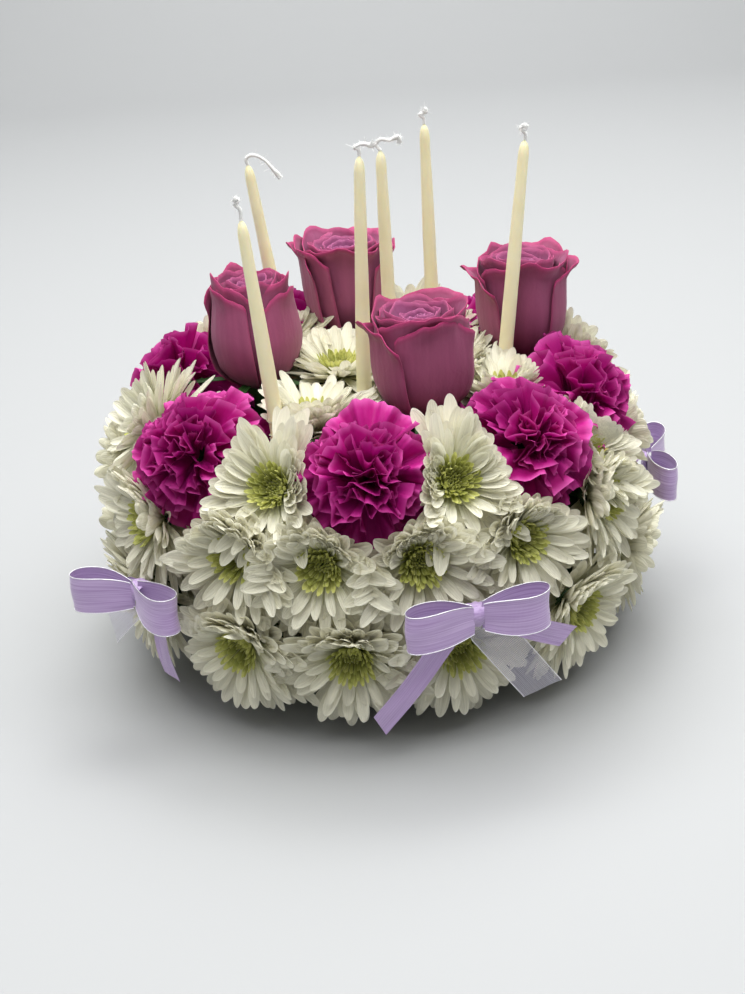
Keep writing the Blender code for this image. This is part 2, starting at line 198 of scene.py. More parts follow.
@dataclass
class Site:
    """Where a flower head grows, and the planes that it shares with its neighbours.

    Attributes:
        name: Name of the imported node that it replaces.
        face: Middle of its face.
        direction: Way that it faces.
        share: Claim on the room between two neighbours.
        rise: Distance in front of the face at which it meets its neighbours.
        planes: Normals and limits that bound it, and how far its petals may pass each.
    """

    name: str
    face: Array
    direction: Array
    share: float
    rise: float
    planes: list[tuple[Array, float, float]] = field(default_factory=list)

    FAR = 100.0
    LEAST_SLOPE = 0.05

    @property
    def middle(self) -> Array:
        """Point that the planes between neighbours are set from."""
        return self.face + self.direction * self.rise

    def axes(self) -> Array:
        """Give the head's own axes.

        Returns:
            Rows: to its side, nearest to upright, and the way that it faces.
        """
        guide = np.array([0.0, 1.0, 0.0] if abs(self.direction[2]) > 0.98 else [0.0, 0.0, 1.0])
        side = unit(np.cross(guide, self.direction))
        return np.array([side, np.cross(self.direction, side), self.direction])

    def room(self, across: Array) -> float:
        """Measure the free way from the head's axis to its nearest plane.

        Args:
            across: Unit vector across the axis.

        Returns:
            The distance.
        """
        free = self.FAR
        for normal, limit, overlap in self.planes:
            slope = float(normal @ across)
            if slope > self.LEAST_SLOPE:
                free = min(free, max(0.0, (limit - float(normal @ self.middle)) / slope) + overlap)
        return free


class Layout:
    """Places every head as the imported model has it, and parts the neighbours."""

    MUM_RISE = 6.0
    CARNATION_RISE = 10.0
    MEETING = 3.2 * MUM_REACH
    OVERLAP = 11.0
    OVERLAP_SLOPE = 10.0
    OVERLAP_RANGE = (4.0, 18.0)
    UNLIKE_OVERLAP = 2.0

    def __init__(self) -> None:
        """Set out the rows."""
        rows = (LOW_ROW, MID_ROW, HIGH_ROW)
        self.mums = [site for row in rows for site in self._row(row, self.MUM_RISE)]
        upright = np.array([0.0, 0.0, 1.0])
        for number, (across, back) in enumerate(TOP_PLACES, 1):
            face = np.array([across, back, TOP_HEIGHT], float)
            self.mums.append(Site(f"mum_top_{number:02d}", face, upright, TOP_SHARE, self.MUM_RISE))
        self.carnations = self._row(CARNATION_ROW, self.CARNATION_RISE)
        self._part([*self.mums, *self.carnations])

    @staticmethod
    def _row(row: Row, rise: float) -> list[Site]:
        """Place the heads of one row.

        Args:
            row: The row.
            rise: Distance in front of the face at which a head meets its neighbours.

        Returns:
            One site for each head.
        """
        sites = []
        tilt = math.radians(row.tilt)
        for index, turn in enumerate(row.turns):
            level = outward(row.facings[index] if row.facings else turn)
            drop = row.drops[index] if row.drops else 0.0
            face = outward(turn) * row.radius + np.array([0.0, 0.0, row.height - drop])
            direction = level * math.cos(tilt) + np.array([0.0, 0.0, math.sin(tilt)])
            sites.append(Site(f"{row.label}_{index + 1:02d}", face, direction, row.share, rise))
        return sites

    def _part(self, sites: list[Site]) -> None:
        """Set a plane between each pair of heads that can meet.

        Args:
            sites: Every flower head.
        """
        for index, first in enumerate(sites):
            for second in sites[index + 1:]:
                apart = second.middle - first.middle
                distance = float(np.linalg.norm(apart))
                if distance > self.MEETING:
                    continue
                normal = apart / distance
                share = first.share / (first.share + second.share)
                border = float(normal @ (first.middle + apart * share))
                alike = first.rise == second.rise
                for site, way, limit in ((first, normal, border), (second, -normal, -border)):
                    wanted = self.OVERLAP - self.OVERLAP_SLOPE * way[2]
                    overlap = np.clip(wanted, *self.OVERLAP_RANGE) if alike else self.UNLIKE_OVERLAP
                    site.planes.append((way, limit, float(overlap)))
        floor = np.array([0.0, 0.0, -1.0])
        for site in sites:
            site.planes.append((floor, -FLOOR_CLEAR, 0.0))
            for place in Rose.PLACES.values():
                across = site.middle[:2] - np.array(place)
                distance = float(np.linalg.norm(across))
                if distance < 2 * MUM_REACH:
                    normal = np.append(-across / distance, 0.0)
                    limit = float(normal[:2] @ np.array(place)) - ROSE_FOOT_RADIUS
                    site.planes.append((normal, limit, 0.0))


def link(name: str, data: bpy.types.ID) -> bpy.types.Object:
    """Put a new object in the scene.

    Args:
        name: Its name.
        data: Its mesh, light or camera.

    Returns:
        The object.
    """
    made = bpy.data.objects.new(name, data)
    bpy.context.scene.collection.objects.link(made)
    return made


class Sheets:
    """Gathers many curved sheets into one mesh.

    Each point keeps where it lies on its sheet, for the materials: its share of the length,
    its share across from -1 to 1, and a tint of its own sheet.
    """

    def __init__(self, name: str) -> None:
        """Start an empty mesh.

        Args:
            name: Name of the piece.
        """
        self.name = name
        self._points: list[Array] = []
        self._places: list[Array] = []
        self._faces: list[Array] = []
        self._slots: list[Array] = []
        self._count = 0

    def add(self, grid: Array, tint: float, slot: int = 0, closed: bool = False) -> None:
        """Add one sheet.

        Args:
            grid: Points in rows along the sheet and columns across it.
            tint: Value from 0 to 1 that varies the sheet's colour.
            slot: Index of its material.
            closed: True if the last column joins the first, as round a tube.
        """
        rows, columns = grid.shape[:2]
        along = np.repeat(np.linspace(0.0, 1.0, rows)[:, None], columns, 1)
        across = np.repeat(np.linspace(-1.0, 1.0, columns)[None, :], rows, 0)
        place = np.stack([along, across, np.full_like(along, tint)], axis=-1)
        index = np.arange(rows * columns).reshape(rows, columns) + self._count
        near = index if closed else index[:, :-1]
        far = np.roll(index, -1, axis=1) if closed else index[:, 1:]
        faces = np.stack([near[:-1], far[:-1], far[1:], near[1:]], axis=-1).reshape(-1, 4)
        self._points.append(grid.reshape(-1, 3))
        self._places.append(place.reshape(-1, 3))
        self._faces.append(faces)
        self._slots.append(np.full(len(faces), slot))
        self._count += rows * columns

    def place(self, axes: Array, origin: Array) -> None:
        """Move every point from the piece's own axes to the cake's.

        Args:
            axes: Rows that the piece's own axes turn into.
            origin: Where its origin lies.
        """
        self._points = [points @ axes + origin for points in self._points]

    def bend(self, way: Callable[[Array], Array]) -> None:
        """Pass every point through a function.

        Args:
            way: The function, from points to points.
        """
        self._points = [way(points) for points in self._points]

    def build(self, materials: Materials) -> bpy.types.Object:
        """Make the object.

        Args:
            materials: Its materials, in slot order.

        Returns:
            The new object, smooth, in metres.
        """
        points = np.concatenate(self._points)
        mesh = bpy.data.meshes.new(self.name)
        faces = np.concatenate(self._faces)
        mesh.from_pydata((points * METRES).tolist(), [], faces.tolist())
        mesh.polygons.foreach_set("material_index", np.concatenate(self._slots).astype(np.int32))
        mesh.polygons.foreach_set("use_smooth", np.ones(len(faces), bool))
        place = mesh.attributes.new("place", "FLOAT_VECTOR", "POINT")
        place.data.foreach_set("vector", np.concatenate(self._places).astype(np.float32).ravel())
        for made in materials:
            mesh.materials.append(made)
        mesh.update()
        LOG.info("piece %s: %d faces", self.name, len(faces))
        return link(self.name, mesh)


def turned(grid: Array, angle: float) -> Array:
    """Turn points about their third axis.

    Args:
        grid: Points.
        angle: Angle in radians.

    Returns:
        The turned points.
    """
    cos, sin = math.cos(angle), math.sin(angle)
    return grid @ np.array([[cos, sin, 0.0], [-sin, cos, 0.0], [0.0, 0.0, 1.0]])


def lathe(profile: Array, sides: int) -> Array:
    """Turn a profile round the third axis.

    Args:
        profile: Distances out and heights.
        sides: Points in each ring.

    Returns:
        The grid of points.
    """
    turn = np.linspace(0.0, math.tau, sides, endpoint=False)
    grid = np.zeros((len(profile), sides, 3))
    grid[..., 0] = profile[:, None, 0] * np.cos(turn)
    grid[..., 1] = profile[:, None, 0] * np.sin(turn)
    grid[..., 2] = profile[:, None, 1]
    return grid


def course(angle: Array, steps: Array | float) -> tuple[Array, Array]:
    """Follow a path whose slope changes.

    Args:
        angle: Its angle above level at each point.
        steps: Lengths from each point to the next.

    Returns:
        How far out and how high each point lies.
    """
    out = np.concatenate([[0.0], np.cumsum(np.cos(angle[:-1]) * steps)])
    return out, np.concatenate([[0.0], np.cumsum(np.sin(angle[:-1]) * steps)])


def raised(out: Array, up: Array, angle: Array, side: Array, normal: Array) -> Array:
    """Set the points of a sheet along a path.

    Args:
        out: How far out the path lies.
        up: How high it lies.
        angle: Its angle above level.
        side: How far to the side each point lies.
        normal: How far each point stands off the path.

    Returns:
        The grid of points.
    """
    x = out - normal * np.sin(angle)
    return np.stack([x, side, up + normal * np.cos(angle)], axis=-1)


def sides_of(path: Array, guide: tuple[float, float, float]) -> tuple[Array, Array]:
    """Give two directions across a path at each of its points.

    Args:
        path: The path.
        guide: A direction that the path never takes.

    Returns:
        Unit vectors to the side, and across both it and the path.
    """
    ahead = unit_rows(np.gradient(path, axis=0))
    side = unit_rows(np.cross(ahead, np.array(guide)))
    return side, np.cross(ahead, side)


def tube(middle: Array, radius: Array | float, sides: tuple[Array, Array], count: int) -> Array:
    """Run a thin tube along a path.

    Args:
        middle: The path.
        radius: Its radius, or one for each point.
        sides: The two directions across it at each point.
        count: Points in each ring.

    Returns:
        The grid of points.
    """
    side, other = sides
    around = np.linspace(0.0, math.tau, count, endpoint=False)
    ring = np.cos(around)[None, :, None] * side[:, None]
    ring = ring + np.sin(around)[None, :, None] * other[:, None]
    return middle[:, None] + np.reshape(radius, (-1, 1, 1)) * ring


@dataclass(frozen=True)
class RayPetal:
    """One strap-shaped petal of a chrysanthemum.

    Attributes:
        length: Length along the petal.
        width: Greatest width.
        start: Distance of its foot from the head's axis.
        rise: Angle above the face at the foot, in degrees.
        curl: Angle that it gains by the tip, in degrees.
        cup: Depth of its trough, as a share of the width.
        twist: Twist at the tip, in degrees.
        sway: Sideways bend at the tip, as a share of the length.
        lift: Height of the foot.
    """

    length: float
    width: float
    start: float
    rise: float
    curl: float
    cup: float
    twist: float
    sway: float
    lift: float

    BODY_END = 0.74
    TIP_STEPS = (0.84, 0.92, 0.965, 0.99, 1.0)
    CURL_POWER = 1.5
    BROADEST = 0.66
    FOOT_SHARE = 0.36
    TIP_POWER = 2.6
    LEAST_SHARE = 0.06
    RIDGES = 2.5
    RIDGE_DEPTH = 0.045
    TIP_FLATTENING = 0.35

    def grid(self, rows: int, columns: int) -> Array:
        """Shape the petal along +X.

        Args:
            rows: Points along it before its rounded tip.
            columns: Points across it.

        Returns:
            The grid of points.
        """
        along = np.concatenate([np.linspace(0.0, self.BODY_END, rows), self.TIP_STEPS])
        across = np.linspace(-1.0, 1.0, columns)
        angle = np.radians(self.rise + self.curl * along ** self.CURL_POWER)
        out, up = course(angle, np.diff(along) * self.length)
        broad = self.FOOT_SHARE + (1.0 - self.FOOT_SHARE) * smooth(0.0, self.BROADEST, along)
        past = np.clip((along - self.BROADEST) / (1.0 - self.BROADEST), 0.0, 1.0)
        tip = np.sqrt(np.clip(1.0 - past ** self.TIP_POWER, 0.0, 1.0))
        half = self.width / 2 * np.maximum(broad * tip, self.LEAST_SHARE)
        twist = np.radians(self.twist) * along
        trough = self.cup * (across ** 2)[None, :] * (2 * half)[:, None]
        lines = np.cos(across * math.pi * self.RIDGES)[None, :]
        ridges = self.RIDGE_DEPTH * self.width * lines * tip[:, None]
        lift = trough * (1.0 - self.TIP_FLATTENING * past)[:, None] + ridges
        side = across[None, :] * half[:, None]
        level = side * np.cos(twist)[:, None] - lift * np.sin(twist)[:, None]
        normal = side * np.sin(twist)[:, None] + lift * np.cos(twist)[:, None]
        side = level + (self.sway * self.length * along ** 2)[:, None]
        out, up = (self.start + out)[:, None], (self.lift + up)[:, None]
        return raised(out, up, angle[:, None], side, normal)


@dataclass(frozen=True)
class Blade:
    """A pointed green leaf, folded along its middle.

    Attributes:
        length: Length.
        width: Greatest width.
        start: Distance of its foot from the axis.
        rise: Angle above level at the foot, in degrees.
        curl: Angle gained by the tip, in degrees.
    """

    length: float
    width: float
    start: float
    rise: float
    curl: float

    FOLD = 0.35

    def grid(self, rows: int = 12, columns: int = 5) -> Array:
        """Shape the leaf along +X.

        Args:
            rows: Points along it.
            columns: Points across it.

        Returns:
            The grid of points.
        """
        along = np.linspace(0.0, 1.0, rows)
        across = np.linspace(-1.0, 1.0, columns)
        angle = np.radians(self.rise + self.curl * along)
        out, up = course(angle, self.length / (rows - 1))
        half = self.width / 2 * np.sin(math.pi * np.clip(along * 0.88 + 0.12, 0, 1)) ** 0.9
        fold = self.FOLD * np.abs(across)[None, :] * half[:, None]
        side = across[None, :] * half[:, None]
        return raised((self.start + out)[:, None], up[:, None], angle[:, None], side, fold)


class Neighbours:
    """Pushes petals off the roses, candles, carnations and bows beside them."""

    ROSE_HEIGHTS = (-2.0, 4.0, 15.0, 33.0, 60.0)
    ROSE_WIDTHS = (5.0, 16.5, 24.0, 26.0, 27.0)
    CANDLE_CLEAR = 4.9
    CARNATION_MIDDLE = 3.0
    CARNATION_CLEAR = 33.0
    BOW_BACK = 146.0
    BOW_HALF = 38.0
    BOW_LOW = -52.0
    BOW_HIGH = 14.0
    BOW_EASE = 8.0
    BOW_PRESS = 0.95

    def __init__(self, carnations: list[Site]) -> None:
        """Take the carnations.

        Args:
            carnations: Where they grow.
        """
        self.carnations = carnations
        self.candles = [Candle.ends_of(number) for number in range(1, len(CANDLE_LINES) + 1)]

    def clear(self, points: Array) -> Array:
        """Move points off every neighbour and off the floor.

        Args:
            points: Points in the cake's own space.

        Returns:
            The points, moved.
        """
        for place in Rose.PLACES.values():
            needed = np.interp(points[:, 2] - ROSE_BASE, self.ROSE_HEIGHTS, self.ROSE_WIDTHS)
            needed = np.where(points[:, 2] < ROSE_BASE - 2.0, 0.0, needed)
            axis = np.column_stack([np.tile(place, (len(points), 1)), points[:, 2]])
            points = self._push(points, axis, needed)
        for foot, tip in self.candles:
            axis = unit(tip - foot)
            nearest = foot + ((points - foot) @ axis)[:, None] * axis
            points = self._push(points, nearest, self.CANDLE_CLEAR)
        for site in self.carnations:
            middle = site.face + site.direction * self.CARNATION_MIDDLE
            points = self._push(points, middle[None, :], self.CARNATION_CLEAR)
        for form in Bow.FORMS.values():
            points = self._behind(points, form)
        points[:, 2] = np.maximum(points[:, 2], FLOOR_CLEAR)
        return points

    @staticmethod
    def _push(points: Array, centres: Array, needed: Array | float) -> Array:
        """Move points away from the nearest place of a neighbour's axis.

        Args:
            points: The points.
            centres: Nearest place on the axis for each.
            needed: Least distance.

        Returns:
            The points, moved.
        """
        away = points - centres
        distance = np.maximum(np.linalg.norm(away, axis=1), 1e-6)
        short = np.maximum(0.0, needed - distance)
        return points + away * (short / distance)[:, None]

    def _behind(self, points: Array, form: BowForm) -> Array:
        """Press points flat behind a bow.

        Args:
            points: The points.
            form: The bow.

        Returns:
            The points, moved.
        """
        level = outward(form.turn)
        depth = points @ level
        side = np.abs(points @ np.array([-level[1], level[0], 0.0]))
        height = points[:, 2] - form.height
        near = 1.0 - smooth(self.BOW_HALF, self.BOW_HALF + 10.0, side)
        near = near * smooth(self.BOW_LOW - self.BOW_EASE, self.BOW_LOW, height)
        near = near * (1.0 - smooth(self.BOW_HIGH, self.BOW_HIGH + self.BOW_EASE, height))
        over = np.maximum(0.0, depth - self.BOW_BACK) * near * self.BOW_PRESS
        return points - over[:, None] * level


class Piece(ABC):
    """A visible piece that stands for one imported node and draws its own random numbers."""

    SLOT: Slot
    ENDING = "flower"

    def __init__(self, node: str, key: int, materials: Materials) -> None:
        """Take the node and the looks.

        Args:
            node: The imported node.
            key: Number that sets its draws apart from those of other pieces.
            materials: Its materials, in the order that its sheets count them.
        """
        self.node = node
        self.materials = materials
        self.sheets = Sheets(f"{node}_{self.ENDING}")
        self.chance = np.random.default_rng(key + SEED)

    @abstractmethod
    def make(self) -> bpy.types.Object:
        """Shape the piece.

        Returns:
            The new object.
        """

    def _lathe(self, profile: tuple[tuple[float, float], ...], sides: int, slot: int) -> None:
        """Add a form that is turned round the piece's axis.

        Args:
            profile: Distances out and heights.
            sides: Points in each ring.
            slot: Index of its material.
        """
        self.sheets.add(lathe(np.array(profile), sides), 0.5, slot, closed=True)


@dataclass(frozen=True)
class Whorl:
    """One ring of a chrysanthemum's petals.

    Attributes:
        count: Number of petals.
        length: Their length.
        width: Their width.
        start: Distance of their feet from the axis.
        rise: Angle above the face at the foot, in degrees.
        curl: Angle gained by the tip, in degrees.
        cup: Depth of the trough.
        lift: Height of the feet.
        slot: Index of their material.
    """

    count: int
    length: float
    width: float
    start: float
    rise: float
    curl: float
    cup: float
    lift: float
    slot: int


class Chrysanthemum(Piece):
    """A spray chrysanthemum: whorls of white petals round a yellow-green middle."""

    SLOT = Slot.WHITE
    WHORLS = (
        Whorl(16, 36.0, 8.4, 4.0, -32, -6, 0.14, -2.5, 0),
        Whorl(20, 40.0, 8.0, 4.0, -16, 2, 0.17, -1.0, 0),
        Whorl(20, 38.5, 7.8, 4.0, -6, 8, 0.19, 0.2, 0),
        Whorl(20, 35.5, 7.6, 4.2, 4, 12, 0.21, 1.2, 0),
        Whorl(18, 31.5, 7.2, 4.6, 13, 15, 0.24, 2.0, 0),
        Whorl(17, 27.0, 6.6, 5.0, 22, 18, 0.28, 2.6, 0),
        Whorl(15, 21.5, 5.6, 5.6, 31, 22, 0.34, 3.0, 0),
        Whorl(24, 12.5, 2.8, 4.8, 44, 46, 0.45, 3.2, 1),
        Whorl(21, 10.5, 2.4, 4.6, 52, 62, 0.52, 3.4, 1),
        Whorl(17, 8.0, 2.1, 4.2, 60, 76, 0.58, 3.6, 1),
    )
    GRIDS = ((5, 7), (3, 3))
    SIZES = (0.97, 1.06)
    LENGTHS = (0.90, 1.06)
    WIDTHS = (0.86, 1.10)
    CUPS = (0.6, 1.4)
    RISES = (-5.0, 6.0)
    CURLS = (-12.0, 12.0)
    TWISTS = (-20.0, 20.0)
    SWAYS = (-0.08, 0.08)
    SPACING = (-0.26, 0.26)
    HANGING = 0.08
    SINK = 3.0
    FLORETS = 34
    FLORET = ((0.9, 0.0), (1.0, 2.4), (0.75, 4.2), (0.12, 5.0))
    CALYX = ((2.0, -16.0), (2.2, -9.0), (5.5, -5.0), (8.0, -1.5), (5.0, 1.0))
    FLORET_RADIUS = 0.7
    FLORET_FOOT = 1.4
    FLORET_SPREAD = 5.0
    STEEPEST = 50.0
    LEAVES = 5
    LEAF_START = 4.0
    LEAF_SINK = 5.0
    DROOP = 8.0

    def __init__(self, site: Site, neighbours: Neighbours, materials: Materials) -> None:
        """Take the place and the looks.

        Args:
            site: Where the head grows.
            neighbours: What its petals are pushed off.
            materials: White petal, middle and green, in that order.
        """
        super().__init__(site.name, sum(site.name.encode()) * 31, materials)
        self.site = site
        self.neighbours = neighbours

    def make(self) -> bpy.types.Object:
        """Make the head.

        Returns:
            The new piece.
        """
        axes = self.site.axes()
        scale = self.chance.uniform(*self.SIZES)
        for whorl in self.WHORLS:
            offset = self.chance.uniform(0.0, math.tau)
            for index in range(whorl.count):
                spread = math.tau / whorl.count
                angle = offset + spread * (index + self.chance.uniform(*self.SPACING))
                petal = self._petal(whorl, angle, axes, scale)
                grid = petal.grid(*self.GRIDS[whorl.slot])
                self.sheets.add(turned(grid, angle), self.chance.random(), whorl.slot)
        self._florets()
        self._lathe(self.CALYX, 14, 2)
        self._leaves()
        self.sheets.place(axes, self.site.face - self.site.direction * self.SINK)
        self.sheets.bend(self.neighbours.clear)
        return self.sheets.build(self.materials)

    def _petal(self, whorl: Whorl, angle: float, axes: Array, scale: float) -> RayPetal:
        """Vary one petal, and raise it where its neighbours leave too little room.

        Args:
            whorl: The petal's whorl.
            angle: Its angle about the head.
            axes: The head's axes.
            scale: Size of this head.

        Returns:
            The petal.
        """
        chance = self.chance
        across = math.cos(angle) * axes[0] + math.sin(angle) * axes[1]
        down = max(0.0, -float(across[2]))
        length = whorl.length * scale * chance.uniform(*self.LENGTHS) * (1.0 + self.HANGING * down)
        reach = length + whorl.start
        room = self.site.room(across)
        rise = whorl.rise + chance.uniform(*self.RISES) - self.DROOP * down
        if room < reach:
            steep = math.degrees(math.acos(max(0.3, min(1.0, room / reach))))
            rise = min(self.STEEPEST, max(rise, rise * 0.5 + 0.8 * steep))
            length *= max(0.6, min(1.0, 0.30 + 0.80 * room / reach))
        return RayPetal(
            length, whorl.width * scale * chance.uniform(*self.WIDTHS), whorl.start, rise,
            whorl.curl + chance.uniform(*self.CURLS), whorl.cup * chance.uniform(*self.CUPS),
            chance.uniform(*self.TWISTS), chance.uniform(*self.SWAYS), whorl.lift,
        )

    def _florets(self) -> None:
        """Set the tiny closed florets of the middle in a spiral, lowest in its centre."""
        floret = lathe(np.array(self.FLORET), 6)
        floret[..., :2] *= self.FLORET_RADIUS
        for index in range(self.FLORETS):
            share = math.sqrt((index + 0.5) / self.FLORETS)
            grid = floret.copy()
            tall = self.chance.uniform(0.8, 1.1) * (0.35 + 0.75 * share)
            grid[..., 2] = grid[..., 2] * tall + self.FLORET_FOOT
            grid[..., 0] += self.FLORET_SPREAD * share - grid[..., 2] * share * 0.12
            # tint rises outward, so the middle florets take the heart's darker colour, partly
            # painted shade in the hollow
            self.sheets.add(turned(grid, index * GOLDEN_TURN), 0.6 * share, 1, closed=True)

    def _leaves(self) -> None:
        """Add the leaves under the head, which close the gaps to its neighbours."""
        for index in range(self.LEAVES):
            length, width = self.chance.uniform(26.0, 36.0), self.chance.uniform(13.0, 18.0)
            rise, curl = self.chance.uniform(-34.0, -16.0), self.chance.uniform(-10.0, 22.0)
            grid = Blade(length, width, self.LEAF_START, rise, curl).grid(9, 5)
            grid[..., 2] -= self.LEAF_SINK
            angle = math.tau * (index + self.chance.uniform(-0.3, 0.3)) / self.LEAVES
            self.sheets.add(turned(grid, angle), self.chance.random(), 2)


class Carnation(Piece):
    """A carnation: a dome of broad ruffled petals with a finely notched edge."""

    SLOT = Slot.MAGENTA
    PETALS = 36
    ROWS = 11
    COLUMNS = 29
    SLOPES = (-20.0, 84.0)
    LENGTHS = (40.0, 27.0)
    SPANS = (44.0, 36.0)
    CALYX = ((2.4, -17.0), (5.5, -15.0), (7.5, -7.0), (8.0, -2.0))
    SECOND_RUFFLE = (2.0, 2.6)
    THIRD_RUFFLE = (0.4, 5.7)
    TOOTH_DEPTH = 0.55
    TEETH = 8.0
    DROOP = 30.0

    def __init__(self, site: Site, materials: Materials) -> None:
        """Take the place and the looks.

        Args:
            site: Where the head grows.
            materials: Magenta petal and green.
        """
        super().__init__(site.name, sum(site.name.encode()) * 17, materials)
        self.site = site

    def make(self) -> bpy.types.Object:
        """Make the head.

        Returns:
            The new piece.
        """
        for index in range(self.PETALS):
            share = index / (self.PETALS - 1)
            angle = index * GOLDEN_TURN + self.chance.uniform(-0.25, 0.25)
            self.sheets.add(turned(self._petal(share), angle), self.chance.random(), 0)
        self._lathe(self.CALYX, 16, 1)
        self.sheets.place(self.site.axes(), self.site.face)
        return self.sheets.build(self.materials)

    def _petal(self, share: float) -> Array:
        """Shape one petal, the outermost first.

        Args:
            share: 0 at the outside of the head and 1 in its middle.

        Returns:
            The grid of points, facing +X.
        """
        chance = self.chance
        slope = math.radians(np.interp(share ** 0.9, (0, 1), self.SLOPES) + chance.uniform(-9, 9))
        length = np.interp(share, (0, 1), self.LENGTHS) * chance.uniform(0.84, 1.08)
        span = math.radians(np.interp(share, (0, 1), self.SPANS) * chance.uniform(0.8, 1.2))
        foot_out, foot_up = 3.0 * (1.0 - share), -4.0 + 6.0 * share
        along = np.linspace(0.10, 1.0, self.ROWS)[:, None]
        across = np.linspace(-1.0, 1.0, self.COLUMNS)[None, :]
        phase, second, third = chance.uniform(0.0, math.tau, 3)
        waves = chance.uniform(1.2, 2.0) * (1.9 - 0.9 * share)
        grow = smooth(0.15, 1.0, along)
        ruffle = np.sin(across * math.pi * waves + phase + along * 0.8) * (4.4 + 0.4 * share)
        size, count = self.SECOND_RUFFLE
        ruffle = ruffle + size * np.sin(across * math.pi * count * waves + second) * grow
        size, count = self.THIRD_RUFFLE
        ruffle = ruffle + size * np.sin(across * math.pi * count * waves + third) * grow ** 2
        ruffle = ruffle * grow
        teeth = self.TOOTH_DEPTH * np.abs(np.sin(across * math.pi * self.TEETH + phase))
        teeth = teeth + 1.1 * np.sin(across * 5.0 + third) + 0.4 * np.sin(across * 23.0 + second)
        reach = length * along * (1.0 - 0.10 * across ** 2) + teeth * smooth(0.75, 1.0, along)
        angle = across * span * (0.5 + 0.5 * along)
        out, side = reach * np.cos(angle), reach * np.sin(angle)
        cup = chance.uniform(-0.15, 0.40) * share * side ** 2 / length
        droop = -math.radians(self.DROOP) * (1.0 - share) ** 1.5 + chance.uniform(-0.12, 0.12)
        lean = chance.uniform(-0.30, 0.30) * (0.3 + share)
        tilt = slope + droop * along ** 2
        normal = ruffle + cup + side * lean
        out, up = foot_out + out * np.cos(tilt), foot_up + out * np.sin(tilt)
        return raised(out, up, tilt, side, normal)


@dataclass(frozen=True)
class RoseForm:
    """How one rose differs from the others.

    Attributes:
        start: Angle of its first petal, in degrees.
        flare: How far its outer rims roll out.
        open: Radius of its mouth as a share of its body.
        tall: Height.
        folds: Angle and size of each outer petal that stands off, in degrees and millimetres.
    """

    start: float
    flare: float
    open: float
    tall: float
    folds: tuple[tuple[float, float], ...]


